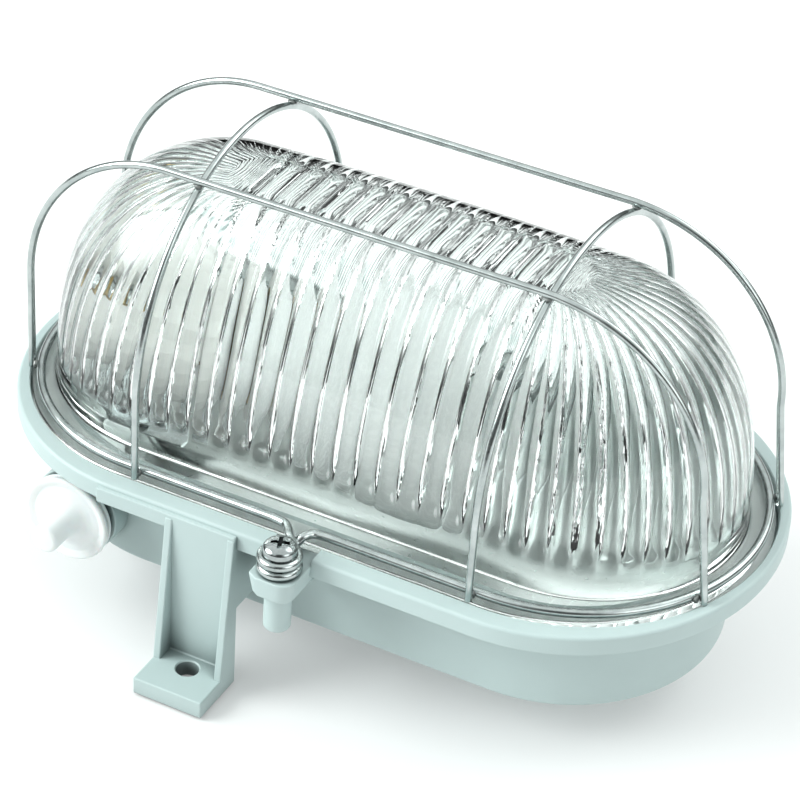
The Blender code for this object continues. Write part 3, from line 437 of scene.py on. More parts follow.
def smooth_path(points):
    """A Catmull-Rom curve through the points."""
    points = [Vector(point) for point in points]
    padded = [2 * points[0] - points[1]] + points + [2 * points[-1] - points[-2]]
    path = []
    for before, start, end, after in zip(padded, padded[1:], padded[2:], padded[3:]):
        for step in range(smooth_steps):
            t = step / smooth_steps
            square = (2 * before - 5 * start + 4 * end - after) * t ** 2
            cube = (3 * start - before - 3 * end + after) * t ** 3
            path.append(0.5 * (2 * start + (end - before) * t + square + cube))
    return path + points[-1:]


def wire_piece(name, points, radius, replaced):
    """A round wire of the guard along a path in millimetres."""
    curve = bpy.data.curves.new(name, "CURVE")
    curve.dimensions = "3D"
    curve.bevel_depth = radius * MM
    curve.bevel_resolution = 5
    curve.use_fill_caps = True
    spline = curve.splines.new("POLY")
    spline.points.add(len(points) - 1)
    for target, point in zip(spline.points, points):
        target.co = (*(point * MM), 1.0)
    spline.use_smooth = True
    curve.materials.append(zinc_wire)
    settle(new_object(name, curve), "guard", (replaced,))


# Base housing

def tub_level(grow, z):
    return tub_half_length + grow, tub_half_width + grow, z


def rim_level(grow, z):
    return rim_half_length + grow, rim_half_width + grow, z


def rebate_level(grow, z):
    return rebate_half_length + grow, rebate_half_width + grow, z


def housing_outer():
    """Tub with a round lower edge, shelf, slope up to the skirt and the rim with its round top edge."""
    under_shelf = ((0.36, -0.9), (0.6, -0.25), (1.3, 0.0))
    skirt_edge = ((-0.4, 0.0), (-0.1, 0.12), (0.0, 0.4))
    shelf_margin, skirt_width = 5.2, 2.7
    profile = []
    for angle in quarter_turn(6):
        inset = tub_edge_radius * (1 - math.sin(angle))
        profile.append(tub_level(-inset, stand_off + tub_edge_radius * (1 - math.cos(angle))))
    profile += [tub_level(grow, shelf_z + up) for grow, up in under_shelf]
    profile.append((rim_half_length - shelf_margin, rim_half_width - 2 * shelf_margin, shelf_z))
    profile.append((rim_half_length - skirt_width, rim_half_width - 2 * skirt_width, skirt_bottom_z))
    profile += [rim_level(grow, skirt_bottom_z + up) for grow, up in skirt_edge]
    for angle in quarter_turn(6):
        inset = rim_edge_radius * (1 - math.cos(angle))
        profile.append(rim_level(-inset, rim_top_z - rim_edge_radius * (1 - math.sin(angle))))
    return loft_ovals(profile)


def housing_cavity():
    """The room in the tub and the rebate for the glass, with a small bevel at the rim."""
    floor_z = stand_off + wall
    floor_corner = ((-tub_edge_radius, 0.0), (-0.5, 0.5), (0.0, tub_edge_radius))
    draft, bevel, excess = 0.4, 0.3, 2.0
    profile = [tub_level(grow - wall, floor_z + up) for grow, up in floor_corner]
    profile += [tub_level(draft - wall, rebate_floor_z), rebate_level(0.0, rebate_floor_z)]
    profile += [rebate_level(0.0, rim_top_z - bevel), rebate_level(bevel, rim_top_z + 0.001)]
    profile.append(rebate_level(bevel, rim_top_z + excess))
    return loft_ovals(profile)


def leg_parts():
    """Web and foot of a leg, its two tapering cheeks with their ties to the tub, and the pad beside it."""
    back, middle, toe = leg_face_y + leg_web, leg_face_y + leg_web / 2, leg_face_y - foot_reach
    left, right = leg_x - leg_width / 2, leg_x + leg_width / 2
    top, cheek_top = rim_top_z - rim_edge_radius, rim_top_z - 2 * rim_edge_radius
    web = [(back, top), (leg_face_y, top), (leg_face_y, foot_thickness), (toe, foot_thickness), (toe, 0.0),
           (back, 0.0)]
    yield soften(prism(web, "X", left, right), 0.45)
    tub_face = -(tub_half_width - wall / 2)
    heel = foot_thickness / 2
    cheek = [(leg_face_y - 0.3, cheek_top), (leg_face_y - cheek_depth, heel), (middle, heel),
             (middle, cheek_tie_z), (tub_face, cheek_tie_z), (tub_face, shelf_z + 1.2), (middle, cheek_top)]
    for start in (left, right - cheek_width):
        yield soften(prism(cheek, "X", start, start + cheek_width), plastic_edge)
    pad_left, pad_face = -54.0, leg_face_y + 0.03
    pad = box((pad_left, left + 1.0), (pad_face, pad_face + wall), (skirt_bottom_z, top))
    yield soften(pad, plastic_edge)


def both_legs():
    """The front leg and its twin, turned half round."""
    half_turn = Matrix.Rotation(math.pi, 4, "Z")
    for part in leg_parts():
        twin = part.copy()
        twin.transform(half_turn)
        yield "UNION", part
        yield "UNION", twin


def tongue():
    """The block under the guard's eyes, with one bevelled and one round front corner, tapering downwards."""
    root, front = -(rim_half_width - wall), screw_y - tongue_reach
    left, right = screw_x - tongue_half_width, screw_x + tongue_half_width
    radius = tongue_corner_radius
    flat = [(left, root), (left, front + 0.6 * tongue_bevel), (left + tongue_bevel, front)]
    for angle in quarter_turn(8):
        flat.append((right - radius * (1 - math.sin(angle)), front + radius * (1 - math.cos(angle))))
    flat.append((right, root))
    upper = [Vector((x, y, tongue_top_z)) for x, y in flat]
    lower = []
    for x, y in flat:
        narrow = screw_x + (x - screw_x) * (1 - tongue_taper)
        lower.append(Vector((narrow, y - min(y - screw_y, 0.0) * tongue_taper, tongue_bottom_z)))
    return soften(loft([lower, upper]), 0.5, 40.0)


def at_screw():
    return Matrix.Translation((screw_x, screw_y, 0.0))


def clamp_boss():
    """The boss for the clamp screw's thread and the web that ties it to the tub."""
    yield "UNION", turned(rounded_rod(boss_radius, boss_bottom_z, boss_top_z, 1.1, 5), 48, at_screw())
    tub_face = -(tub_half_width - wall / 2)
    web_half, web_top_z, web_front_z, web_rear_z = 1.0, shelf_z + wall / 2, 34.65, 31.8
    web = [(screw_y, web_top_z), (screw_y, web_front_z), (tub_face, web_rear_z), (tub_face, web_top_z)]
    yield "UNION", soften(prism(web, "X", screw_x - web_half, screw_x + web_half), 0.3)


def hinge_hook():
    """The hook on the rear rim that reaches over the hinge bar, open downwards."""
    inside_top = hinge_z + ring_radius + hook_clearance
    outside_top = inside_top + hook_thickness
    inside_y = hinge_y + ring_radius + hook_clearance
    outside_y = inside_y + hook_thickness
    lip_z = hinge_z - ring_radius
    root, root_z = rebate_half_width + 1.5, rim_top_z - wall
    rim_y = rim_half_width - wall / 2
    bevel = hook_thickness / 2
    points = [(root, outside_top), (root, root_z), (rim_y, root_z), (rim_y, inside_top),
              (inside_y, inside_top), (inside_y, lip_z), (outside_y, lip_z), (outside_y, outside_top - bevel),
              (outside_y - bevel, outside_top)]
    return soften(prism(points, "X", -hook_half_width, hook_half_width), plastic_edge)


def at_entry():
    return Matrix.Translation((entry_x, entry_face_y, entry_z)) @ Matrix.Rotation(math.pi / 2, 4, "X")


def bracket_posts():
    """Two posts on the tub's floor with blind holes for the bracket's screws."""
    for y in (-post_y, post_y):
        post = Matrix.Translation((post_x, y, 0.0))
        yield "UNION", cylinder(post_radius, stand_off + wall / 2, post_top_z, 32, post)
        yield "DIFFERENCE", cylinder(post_hole_radius, stand_off + wall, post_top_z + wall, 20, post)


def ring_notch():
    """The opening in the rim through which the guard's ends run out to their eyes."""
    front, rear = -62.5, -52.1
    sides = (screw_x - tongue_half_width, screw_x + tongue_half_width)
    return box(sides, (front, rear), (tongue_top_z, ring_z))


def clamp_hole():
    radius, bottom_z, bevel = 2.35, 34.95, 0.35
    line = [(0.0, bottom_z), (radius, bottom_z), (radius, tongue_top_z - 0.3),
            (radius + bevel, tongue_top_z + 0.01), (radius + bevel, rim_top_z), (0.0, rim_top_z)]
    return turned(line, 32, at_screw())


def foot_holes():
    """The fixing holes through both feet, bevelled at both ends."""
    wide, excess, hair = foot_hole_radius + plastic_edge, 2.5, 0.01
    line = [(0.0, -excess), (wide, -excess), (wide, -hair), (foot_hole_radius, plastic_edge),
            (foot_hole_radius, foot_thickness - plastic_edge), (wide, foot_thickness + hair),
            (wide, foot_thickness + excess), (0.0, foot_thickness + excess)]
    for turn in (1, -1):
        yield "DIFFERENCE", turned(line, 36, Matrix.Translation((turn * leg_x, -turn * foot_hole_y, 0.0)))


def housing_steps():
    """What is joined to the shell and cut out of it, in order."""
    yield from both_legs()
    yield "UNION", tongue()
    yield from clamp_boss()
    yield "UNION", hinge_hook()
    yield "UNION", turned(rounded_rod(entry_radius, -entry_depth, 0.0, 0.5, 3), 64, at_entry())
    yield "DIFFERENCE", housing_cavity()
    yield from bracket_posts()
    yield "DIFFERENCE", ring_notch()
    yield "DIFFERENCE", clamp_hole()
    yield "DIFFERENCE", cylinder(entry_hole_radius, -entry_hole_depth, 2.5, 48, at_entry())
    yield from foot_holes()


def within_oval(point, half_length, half_width):
    beyond = max(abs(point.x) - straight_half, 0.0) / (half_length - straight_half)
    return beyond ** 2 + (point.y / half_width) ** 2 < 1.0


def inside_tub(point):
    """True on the tub's inner wall and floor and on what stands in it."""
    slack = 0.9 - wall
    level = stand_off + wall - 0.2 < point.z < rebate_floor_z + 0.05
    return level and within_oval(point, tub_half_length + slack, tub_half_width + slack)


def in_rebate(point):
    """True on the step that the glass lies in."""
    slack = 0.4
    level = rebate_floor_z - 0.05 < point.z < rim_top_z - 0.05
    return level and within_oval(point, rebate_half_length + slack, rebate_half_width + slack)


def build_housing():
    body = combine("housing", housing_outer(), housing_steps())
    # Faces inside the tub take the plated finish, faces in the rebate the plastic without painted shade, the
    # rest the plastic with painted corner shade.
    for face in body.faces:
        centre = face.calc_center_median()
        face.material_index = 1 if inside_tub(centre) else 2 if in_rebate(centre) else 0
    piece = mesh_piece("housing_shell", body, plastic, "base", ("base_housing",), 32.0)
    piece.data.materials.append(plated_inside)
    piece.data.materials.append(unshaded_plastic)
    modifier = piece.modifiers.new("even_shading", "WEIGHTED_NORMAL")
    modifier.keep_sharp = True
    modifier.weight = 80


# Glass

def dome_level(share, inset):
    """Half length and half width of the dome at a share of its height."""
    length, width = glass_half_length - inset, glass_half_width - inset
    end_curve = 1 - (1 - share ** end_roundness) ** (1 / end_roundness)
    side_curve = 1 - (1 - share ** side_roundness) ** (1 / side_roundness)
    end_drop = (length - glass_crest_half_length) * end_curve
    side_drop = (width - glass_crest_half_width) * side_curve
    return length - end_drop, width - side_drop


def dome_point(share, inset, along):
    """A point on the front half; along runs 0..1 from the left tip to the right tip."""
    length, width = dome_level(share, inset)
    side = -1.0 if along < 0.5 else 1.0
    t = min(along, 1 - along) * 2
    round_share, straight_share = 0.52, 0.48
    end = length - width
    if t < round_share:
        angle = math.pi / 2 * t / round_share
        x, y = end + width * math.cos(angle), -width * math.sin(angle)
    else:
        x, y = end * (1 - (t - round_share) / straight_share), -width
    x *= side
    height = (glass_height - inset) * (1 - glass_crown * (x / glass_half_length) ** 2)
    return Vector((x, y, share * height))


def rib_station(point, share, inset):
    """How far along the foot a rib through this point starts, and how close the ribs stand here.

    The ribs cross the middle squarely and fan out over the ends.
    """
    if abs(point.x) <= plain_half:
        return abs(point.x), 1.0
    length, width = dome_level(share, inset)
    straight = length - width
    beyond = abs(point.x) - plain_half
    if abs(point.x) > straight:
        turn = math.atan2(abs(point.x) - straight, max(abs(point.y), 1e-6))
        beyond = straight - plain_half + width * turn
    closeness = (straight - plain_half + width * math.pi / 2) / foot_end
    return plain_half + beyond / closeness, closeness


def rib_height(point, share, inset):
    """Round ribs with sharp valleys, ending a little above the flange."""
    station, closeness = rib_station(point, share, inset)
    beside = abs((station / rib_pitch + 0.5) % 1.0 - 0.5) * rib_pitch
    crest = math.sqrt(rib_radius ** 2 - beside ** 2) - (rib_radius - rib_depth)
    fade = min(max((point.z - rib_start) / rib_fade, 0.0), 1.0)
    return closeness * crest * math.sin(math.pi / 2 * fade)


def dome_rows(inset, levels):
    """Rows of points from the front foot over the crest to the rear foot, and their shares of the height."""
    shares = [math.sin(math.pi / 2 * level / levels) for level in range(levels + 1)]
    rows = []
    for column in range(glass_columns + 1):
        row = [dome_point(share, inset, column / glass_columns) for share in shares]
        rear = [Vector((p.x, -p.y, p.z)) for p in reversed(row)]
        edge = row[-1]
        beyond = math.copysign(max(abs(edge.x) - plain_half, 0.0), edge.x)
        for step in range(1, crest_steps):
            t = step / crest_steps
            bow = crest_bow * beyond * math.sin(math.pi * t)
            row.append(Vector((edge.x - bow, edge.y * (1 - 2 * t), edge.z)))
        rows.append(row + rear)
    return rows, shares + [1.0] * (crest_steps - 1) + shares[::-1]


def outward(rows, i, j):
    """The direction square to the dome at a point; past a tip the rows go on at the other side."""
    row = rows[i]
    last_row, last = len(rows) - 1, len(row) - 1
    before = rows[i - 1][j] if i > 0 else rows[1][last - j]
    after = rows[i + 1][j] if i < last_row else rows[last_row - 1][last - j]
    below, above = row[max(j - 1, 0)], row[min(j + 1, last)]
    normal = (after - before).cross(above - below)
    if normal.length <= 1e-9:
        return Vector()
    normal.normalize()
    point = row[j]
    core = Vector((max(min(point.x, 50.0), -50.0), 0.0, 10.0))
    return normal if normal.dot(point - core) >= 0 else -normal


def press_ribs(rows, shares, inset):
    """Move the points of a plain dome inwards by the height of the ribs."""
    pressed = []
    for i, row in enumerate(rows):
        line = []
        for j, (point, share) in enumerate(zip(row, shares)):
            depth = rib_height(point, share, inset)
            line.append(point - outward(rows, i, j) * depth if depth > 0.0 else point)
        pressed.append(line)
    return pressed


def dome_surface(body, inset, levels, ribs):
    """Skin the rows, with the first and last one folded together over their tip; returns the foot loop."""
    rows, shares = dome_rows(inset, levels)
    if ribs:
        rows = press_ribs(rows, shares, inset)
    verts = []
    for i, row in enumerate(rows):
        if i in (0, len(rows) - 1):
            half = [body.verts.new(p) for p in row[:levels + 1]]
            verts.append(half + [half[-1]] * (crest_steps - 1) + half[::-1])
        else:
            verts.append([body.verts.new(p) for p in row])
    for first, second in zip(verts, verts[1:]):
        for j in range(len(first) - 1):
            face = list(dict.fromkeys((first[j], second[j], second[j + 1], first[j + 1])))
            if len(face) > 2:
                body.faces.new(face)
    return [row[0] for row in verts] + [row[-1] for row in reversed(verts[1:-1])]


def flange_point(foot, half_length, half_width, z):
    """The point of an oval that lies outside a point of the dome's foot."""
    straight = glass_half_length - glass_half_width
    beyond = abs(foot.x) - straight
    if beyond <= 0.0:
        return Vector((foot.x * straight_half / straight, math.copysign(half_width, foot.y), z))
    sine = min(beyond / glass_half_width, 1.0)
    x = straight_half + (half_length - straight_half) * sine
    y = half_width * math.sqrt(1 - sine ** 2)
    return Vector((math.copysign(x, foot.x), math.copysign(y, foot.y), z))


def beside_foot(foot, grow, z):
    """The point a little outside a point of the dome's foot, on the way to the flange's edge."""
    edge = flange_point(foot, flange_half_length, flange_half_width, 0.0)
    away = (edge - Vector((foot.x, foot.y, 0.0))).normalized()
    return Vector((foot.x + away.x * grow, foot.y + away.y * grow, z))


def build_glass():
    """Pressed glass: plain outside, ribbed inside, with a flat flange and small rounded edges."""
    foot_corner_z = 1.0
    foot_corner = ((0.35, 0.35), (1.0, 0.0), (1.3, 0.0))
    flange_edge = ((0.8, 0.0), (0.5, 0.0), (0.12, -0.12), (0.0, -0.5), (0.0, -0.8), (0.0, -2.2), (0.0, -2.5),
                   (0.15, -2.85), (0.5, -flange_thickness), (0.8, -flange_thickness))
    body = bmesh.new()
    outer = dome_surface(body, 0.0, outer_levels, False)
    inner = dome_surface(body, glass_wall, inner_levels, True)
    foot = [vert.co.copy() for vert in outer]
    for vert in outer:
        vert.co.z = foot_corner_z
    loops = [outer]
    for grow, z in foot_corner:
        loops.append([body.verts.new(beside_foot(point, grow, z)) for point in foot])
    for shrink, z in flange_edge:
        length, width = flange_half_length - shrink, flange_half_width - shrink
        loops.append([body.verts.new(flange_point(point, length, width, z)) for point in foot])
    for vert in inner:
        vert.co.z = -flange_thickness
    loops.append(inner)
    for first, second in zip(loops, loops[1:]):
        bridge(body, first, second)
    bmesh.ops.recalc_face_normals(body, faces=body.faces)
    body.transform(Matrix.Translation((-glass_shift, 0.0, flange_top_z)))
    mesh_piece("glass_ribbed", body, clear_glass, "base", ("glass_dome",), 60.0)


# Wire guard

def eye_arc(start, end, z):
    """An eye round the clamp screw, between two angles in degrees."""
    points = []
    for step in range(eye_steps + 1):
        angle = math.radians(start + (end - start) * step / eye_steps)
        x, y = eye_bend_radius * math.cos(angle), eye_bend_radius * math.sin(angle)
        points.append(Vector((screw_x + x, screw_y + y, z)))
    return points


def hinge_bend():
    """From the ring out to the hinge bar at the rear rim and back."""
    bend, half, drop = hinge_bend_radius, hinge_bar_half, ring_z - hinge_z
    left = [
        (-half - bend, ring_half_width, ring_z),
        (-half - bend * 0.3, ring_half_width + bend * 0.3, ring_z),
        (-half, ring_half_width + bend, ring_z),
        (-half, rim_half_width - 0.3, ring_z),
        (-half, hinge_y - ring_radius, ring_z - drop * 0.2),
        (-half + bend * 0.15, hinge_y - 0.3, hinge_z + ring_radius),
        (-half + bend * 0.8, hinge_y, hinge_z),
    ]
    right = [(-x, y, z) for x, y, z in reversed(left)]
    return smooth_path(left + right)


def ring_wire_path():
    """From the upper eye clockwise round the rim, by way of the hinge bar, to the lower eye."""
    line_y = -ring_half_width
    crossing_y = (line_y + screw_y) / 2
    upper_eye = eye_arc(upper_eye_end - eye_sweep, upper_eye_end, upper_eye_z)
    lower_eye = eye_arc(lower_eye_start, lower_eye_start + eye_sweep, lower_eye_z)
    lift = upper_eye_z + ring_radius / 3
    upper_lead = smooth_path([
        upper_eye[-1],
        (screw_x - 1.0, crossing_y + 0.2, lift),
        (screw_x - 3.2, line_y - 3.4, lift - ring_radius / 2),
        (screw_x - 5.6, line_y - 0.8, ring_z + 0.15),
        (screw_x - 9.0, line_y, ring_z),
    ])
    lower_lead = smooth_path([
        (screw_x + 6.0, line_y, ring_z),
        (screw_x + 2.6, line_y - 0.6, ring_z),
        (screw_x + 0.9, line_y - 2.8, ring_z),
        (screw_x - 0.2, crossing_y + 2.2, ring_z - ring_radius),
        (screw_x - 1.6, crossing_y - 0.9, lower_eye_z + 0.1),
        lower_eye[0],
    ])
    left_end, right_end = (half_oval(side, ring_half_length, ring_half_width, ring_z) for side in (-1, 1))
    path = upper_eye[:-1] + upper_lead + left_end[::-1] + hinge_bend()
    return path + right_end[::-1] + lower_lead + lower_eye[1:]


def cross_wire_station(side, y):
    """Where a cross wire passes the line y; the right one stands a little askew."""
    if side < 0:
        return -cross_wire_x
    return cross_wire_x + cross_wire_skew * (y + cross_foot) / (2 * cross_foot)


def cross_wire_level(y):
    return ring_z + cross_wire_knee + cross_wire_rise * math.sqrt(1 - (y / cross_foot) ** 2)


def cross_wire_path(side):
    """Up a straight leg at the front, over in half an ellipse and down a leg at the rear."""
    arc_steps = 96
    front, rear = cross_wire_station(side, -cross_foot), cross_wire_station(side, cross_foot)
    levels = [ring_z + cross_wire_knee * step / leg_steps for step in range(leg_steps)]
    points = [Vector((front, -cross_foot, z)) for z in [ring_z - ring_radius] + levels]
    for step in range(arc_steps + 1):
        angle = math.pi * step / arc_steps
        y = -cross_foot * math.cos(angle)
        z = ring_z + cross_wire_knee + cross_wire_rise * math.sin(angle)
        points.append(Vector((cross_wire_station(side, y), y, z)))
    points += [Vector((rear, cross_foot, z)) for z in levels[::-1] + [ring_z - ring_radius]]
    return points


def ring_crossing(y):
    """Where the ring's right end passes the line y, and the direction square to it there."""
    end = ring_half_length - straight_half
    cosine = math.sqrt(1 - (y / ring_half_width) ** 2)
    normal = Vector((cosine / end, y / ring_half_width ** 2, 0.0)).normalized()
    return straight_half + end * cosine, normal


def long_wire_foot(y):
    x, normal = ring_crossing(y)
    return x + (ring_radius + weld_gap + cage_radius) / normal.x


def long_wire_top(y):
    """High enough to lie on both cross wires, square to their slope."""
    knee = ring_z + long_wire_knee
    share = y / cross_foot
    slope = cross_wire_rise / cross_foot * share / math.sqrt(1 - share ** 2)
    rise = cross_wire_level(y) + (2 * cage_radius + weld_gap) * math.hypot(1.0, slope) - knee
    rises = []
    for side, bend, lean in long_wire_sides:
        bend_start = long_wire_foot(y) - lean - bend
        reach = max(side * cross_wire_station(side, y) - bend_start, 0.0) / bend
        rises.append(rise / math.sqrt(1 - reach ** 2))
    return knee + max(rises)


def long_wire_side(y, side, bend, lean):
    """Up a leg that leans inwards and round a quarter of an ellipse to the straight top."""
    half = long_wire_foot(y)
    knee = ring_z + long_wire_knee
    rise = long_wire_top(y) - knee
    points = [Vector((side * half, y, ring_z - ring_radius))]
    for step in range(leg_steps):
        x = side * (half - lean * step / leg_steps)
        points.append(Vector((x, y, ring_z + long_wire_knee * step / leg_steps)))
    for angle in quarter_turn(48):
        x = side * (half - lean - bend + bend * math.cos(angle))
        points.append(Vector((x, y, knee + rise * math.sin(angle))))
    return points


def long_wire_path(y):
    right, left = (long_wire_side(y, side, bend, lean) for side, bend, lean in long_wire_sides)
    return right + left[::-1]


def weld_bead(body, centre, along, across, size, seed):
    """A small flattened weld bead between two wires."""
    made = bmesh.ops.create_icosphere(body, subdivisions=3, radius=1.0)["verts"]
    along = along.normalized()
    across = (across - across.dot(along) * along).normalized()
    third = along.cross(across)
    for vert in made:
        p = vert.co.copy()
        p *= 1.0 + 0.22 * noise.noise(p * 1.7 + Vector((seed * 3.1, seed * 1.7, seed)))
        vert.co = centre + along * (p.x * size[0]) + across * (p.y * size[1]) + third * (p.z * size[2])


def build_welds():
    """Beads at the feet of the cross wires and the long wires and where they cross."""
    foot_bead, crossing_bead = (1.15, 1.2, 0.75), (1.25, 1.0, 0.55)
    x_axis, y_axis, up = Vector((1, 0, 0)), Vector((0, 1, 0)), Vector((0, 0, 1))
    beside_ring = ring_radius + weld_gap / 2
    foot_z = ring_z - 0.1
    body = bmesh.new()
    seed = 1
    for side in (-1, 1):
        for y in (long_wire_front, long_wire_rear):
            cross_x = cross_wire_station(side, math.copysign(cross_foot, y))
            spot = Vector((cross_x, math.copysign(ring_half_width + beside_ring, y), foot_z))
            weld_bead(body, spot, up, x_axis, foot_bead, seed)
            x, normal = ring_crossing(y)
            spot = Vector((x, y, foot_z)) + normal * beside_ring
            spot.x *= side
            weld_bead(body, spot, up, y_axis, foot_bead, seed + 10)
            level = (cross_wire_level(y) + long_wire_top(y)) / 2
            spot = Vector((cross_wire_station(side, y), y, level))
            weld_bead(body, spot, x_axis, y_axis, crossing_bead, seed + 20)
            seed += 1
    mesh_piece("guard_welds", body, weld, "guard", (), 50.0)


def build_guard():
    wire_piece("ring_wire", ring_wire_path(), ring_radius, "guard_ring_wire")
    for name, y in (("front", long_wire_front), ("rear", long_wire_rear)):
        wire_piece(f"long_wire_{name}", long_wire_path(y), cage_radius, f"guard_long_wire_{name}")
    for name, side in (("left", -1), ("right", 1)):
        wire_piece(f"cross_wire_{name}", cross_wire_path(side), cage_radius, f"guard_cross_wire_{name}")
    build_welds()


# Clamp screw

def build_clamp_screw():
    """A domed head with a cross recess on a plain shank with a bevelled end."""
    seat, head, height, shank = screw_seat_z, 4.4, 2.9, 1.8
    point, point_length, length = 0.7, 1.6, 16.0
    end_z = seat - length
    line = [(0.0, end_z), (point, end_z), (shank, end_z + point_length), (shank, seat), (head, seat),
            (head, seat + height * 0.34)]
    for angle in quarter_turn(12)[1:-1]:
        radius = head * (0.82 + 0.18 * math.cos(angle)) * math.cos(angle) ** 0.55
        line.append((radius, seat + height * (0.35 + 0.65 * math.sin(angle))))
    line.append((0.0, seat + height))
    base = turned(line, 64, at_screw())
    arm, slot, turn = 2.4, 0.55, 20
    corners = [(slot, slot), (slot, arm), (-slot, arm)]
    cross = []
    for _ in range(4):
        cross += corners
        corners = [(-y, x) for x, y in corners]
    recess = prism(cross, "Z", seat + height * 0.4, seat + height + 2.5)
    recess.transform(at_screw() @ Matrix.Rotation(math.radians(turn), 4, "Z"))
    body = combine("screw", base, [("DIFFERENCE", recess)])
    mesh_piece("clamp_screw_fine", body, chrome, "screw", ("clamp_screw",), 32.0)


# Cable grommet

def round_edge(radius, height, edge, angles):
    """Points of a round edge; radius and height are its middle."""
    turns = [math.radians(angle) for angle in angles]
    return [(radius + edge * math.cos(turn), height + edge * math.sin(turn)) for turn in turns]


def build_grommet():
    """A soft disc with a cone and a closed nipple; its heights count outwards from the entry's face."""
    lip_back, lip_thickness, lip = 1.7, 3.4, 12.2
    cone_height, cone_base_inset = 3.0, 3.0
    nipple, nipple_length, nipple_edge, skin = 3.8, 7.5, 1.1, 1.6
    lip_edge, ring_edge = 0.85, 0.45
    groove, collar, sleeve, bore = 10.3, 9.6, 8.2, 6.6
    collar_z, sleeve_z = 0.3, -7.7
    front = lip_back + lip_thickness
    cone_top = front + cone_height
    tip = cone_top + nipple_length
    line = [(0.0, tip), (nipple - nipple_edge, tip)]
    line += round_edge(nipple - nipple_edge, tip - nipple_edge, nipple_edge, range(75, -1, -15))
    flare_top, flare_bottom = cone_top + 1.0, front - 0.5
    line.append((nipple, flare_top))
    base = lip - cone_base_inset
    for step in range(1, 11):
        t = step / 10
        radius = nipple + (base - nipple) * t ** 1.25
        line.append((radius, flare_top - (flare_top - flare_bottom) * (1 - (1 - t) ** 1.9)))
    line += [(base + 0.4, front - 0.75), (base + 0.8, front - 0.7)]
    line += round_edge(lip - lip_edge, front - lip_edge, lip_edge, [90 - 22.5 * step for step in range(9)])
    line += [(groove, front - 2 * lip_edge), (groove, lip_back + 2 * ring_edge)]
    line += round_edge(lip - 0.3 - ring_edge, lip_back + ring_edge, ring_edge, range(90, -91, -30))
    line += [(collar, lip_back), (collar, collar_z), (sleeve, collar_z), (sleeve, sleeve_z), (bore, sleeve_z),
             (bore, collar_z), (2.8, cone_top - skin), (2.2, cone_top), (2.2, tip - skin), (0.0, tip - skin)]
    body = turned(line, 72, at_entry())
    mesh_piece("grommet_fine", body, soft_white, "base", ("cable_grommet",), 40.0)


# Bulb

def build_bulb():
    """Opal envelope on a plated cap; its tip points to the holder."""
    cap, cap_end, neck, neck_start, ball, length = 13.1, 24.0, 15.0, 27.0, 30.0, 104.0
    centre = length - ball
    line = [(0.0, 0.0), (4.5, 0.0), (5.0, 1.0), (cap - 1.5, 3.0), (cap, 4.5), (cap, cap_end),
            (neck, neck_start)]
    join = math.radians(-38)
    join_radius, join_height = ball * math.cos(join), centre + ball * math.sin(join)
    for step in range(1, 24):
        t = step / 24
        ease = 0.55 * t * t * (3 - 2 * t) + 0.45 * t
        line.append((neck + (join_radius - neck) * ease, neck_start + (join_height - neck_start) * t))
    for step in range(48):
        angle = join + (math.pi / 2 - join) * step / 48
        line.append((ball * math.cos(angle), centre + ball * math.sin(angle)))
    line.append((0.0, length))
    body = turned(line, 96)
    for face in body.faces:
        if face.calc_center_median().z < cap_end:
            face.material_index = 1
    low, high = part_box("bulb")
    tip = Matrix.Translation((low[0] / MM, 0.0, (low[2] + high[2]) / 2 / MM))
    body.transform(tip @ Matrix.Rotation(math.pi / 2, 4, "Y"))
    piece = mesh_piece("bulb_fine", body, opal, "base", ("bulb",), 35.0)
    piece.data.materials.append(zinc)


# Nodes of the frame that show as they are

def frame_finish(name):
    """The finish of a node by its name; it shows where no finer piece replaces the node."""
    if "screw" in name or "bracket" in name:
        return zinc
    if "terminal" in name or "shell" in name or "contact" in name:
        return brass
    return {"gasket": gasket_rubber, "lampholder_body": porcelain}.get(name, plastic)


def dress_frame_nodes():
    for name, item in nodes.items():
        item.data.materials.clear()
        item.data.materials.append(frame_finish(name))


# Floor, light and camera

def build_floor():
    half, z = 4, -0.0006
    corners = [(-half, -half, z), (half, -half, z), (half, half, z), (-half, half, z)]
    mesh = bpy.data.meshes.new("floor")
    mesh.from_pydata(corners, [], [(0, 1, 2, 3)])
    material, _, shader = new_material("pale_floor")
    set_inputs(shader, {"Base Color": (0.64, 0.64, 0.64, 1.0), "Roughness": 0.9,
                        "Emission Color": (1.0, 1.0, 1.0, 1.0), "Emission Strength": 0.22})
    mesh.materials.append(material)
    floor = new_object("floor", mesh)


# Soft patches of the surroundings: middle, degrees to the end of the full light and to the edge, strength

lamps = [
    ((-0.77, -0.47, 0.55), 11, 27, 9.0),
    ((0.40, 0.65, 0.75), 14, 28, 2.6),
    ((0.86, -0.25, 0.45), 8, 22, 2.0),
]
flag = ((0.33, -0.74, 0.60), 12, 26, 0.85)


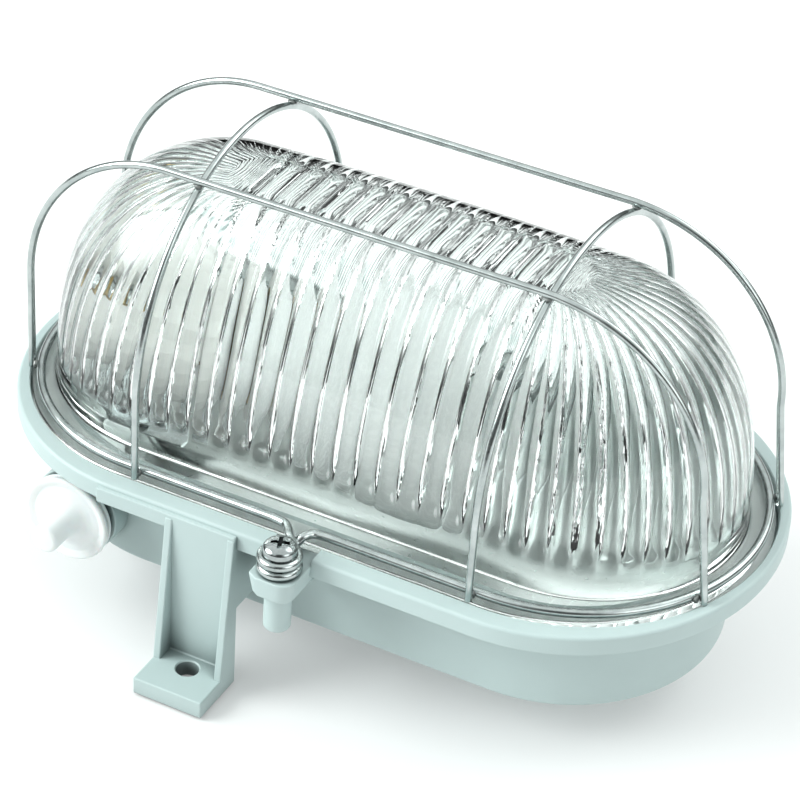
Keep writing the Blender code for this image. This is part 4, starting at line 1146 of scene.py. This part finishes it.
def soft_patch(tree, direction, middle, inner, outer, strength):
    """A soft round patch of the surroundings, by the angle from its middle."""
    dot = add(tree, "ShaderNodeVectorMath", operation="DOT_PRODUCT")
    dot.inputs[1].default_value = Vector(middle).normalized()
    tree.links.new(direction, dot.inputs[0])
    ends = {"From Min": math.cos(math.radians(outer)), "From Max": math.cos(math.radians(inner)),
            "To Min": 0.0, "To Max": strength}
    fade = add(tree, "ShaderNodeMapRange", ends, interpolation_type="SMOOTHSTEP")
    tree.links.new(dot.outputs["Value"], fade.inputs["Value"])
    return fade.outputs["Result"]


def join_values(tree, first, second, operation):
    node = add(tree, "ShaderNodeMath", operation=operation)
    tree.links.new(first, node.inputs[0])
    tree.links.new(second, node.inputs[1])
    return node.outputs["Value"]


def build_world():
    """A pale sky that darkens to its edge, with soft lamps added and a dark flag taken out."""
    world = bpy.data.worlds.new("studio")
    scene.world = world
    world.use_nodes = True
    tree = world.node_tree
    background = tree.nodes["Background"]
    direction = add(tree, "ShaderNodeTexCoord").outputs["Generated"]
    split = add(tree, "ShaderNodeSeparateXYZ")
    tree.links.new(direction, split.inputs["Vector"])
    ends = {"From Min": 0.12, "From Max": 0.75, "To Min": 0.04, "To Max": 1.18}
    sky = add(tree, "ShaderNodeMapRange", ends, interpolation_type="SMOOTHSTEP")
    tree.links.new(split.outputs["Z"], sky.inputs["Value"])
    total = sky.outputs["Result"]
    for lamp in lamps:
        total = join_values(tree, total, soft_patch(tree, direction, *lamp), "ADD")
    rest = add(tree, "ShaderNodeMath", {0: 1.0}, operation="SUBTRACT")
    tree.links.new(soft_patch(tree, direction, *flag), rest.inputs[1])
    total = join_values(tree, total, rest.outputs["Value"], "MULTIPLY")
    tree.links.new(total, background.inputs["Strength"])
    background.inputs["Color"].default_value = (0.95, 1.0, 0.99, 1.0)


def build_camera():
    """The camera of the photo, solved from the rim, the tub, the leg and the crossings of the wires."""
    place = Vector((0.26163, -0.55949, 0.48817))
    right = Vector((0.8867, 0.45879, 0.05723))
    up = Vector((-0.3047, 0.48678, 0.81866))
    camera = new_object("camera", bpy.data.cameras.new("camera"))
    matrix = Matrix((right, up, right.cross(up))).transposed().to_4x4()
    matrix.translation = place
    camera.matrix_world = matrix
    camera.data.sensor_width = 36.0
    camera.data.lens = 130.95
    camera.data.clip_start = 0.01
    camera.data.clip_end = 20.0
    scene.camera = camera


build_camera()
build_world()
build_floor()
dress_frame_nodes()
build_housing()
build_glass()
build_guard()
build_clamp_screw()
build_grommet()
build_bulb()
scene.view_settings.view_transform = "Standard"
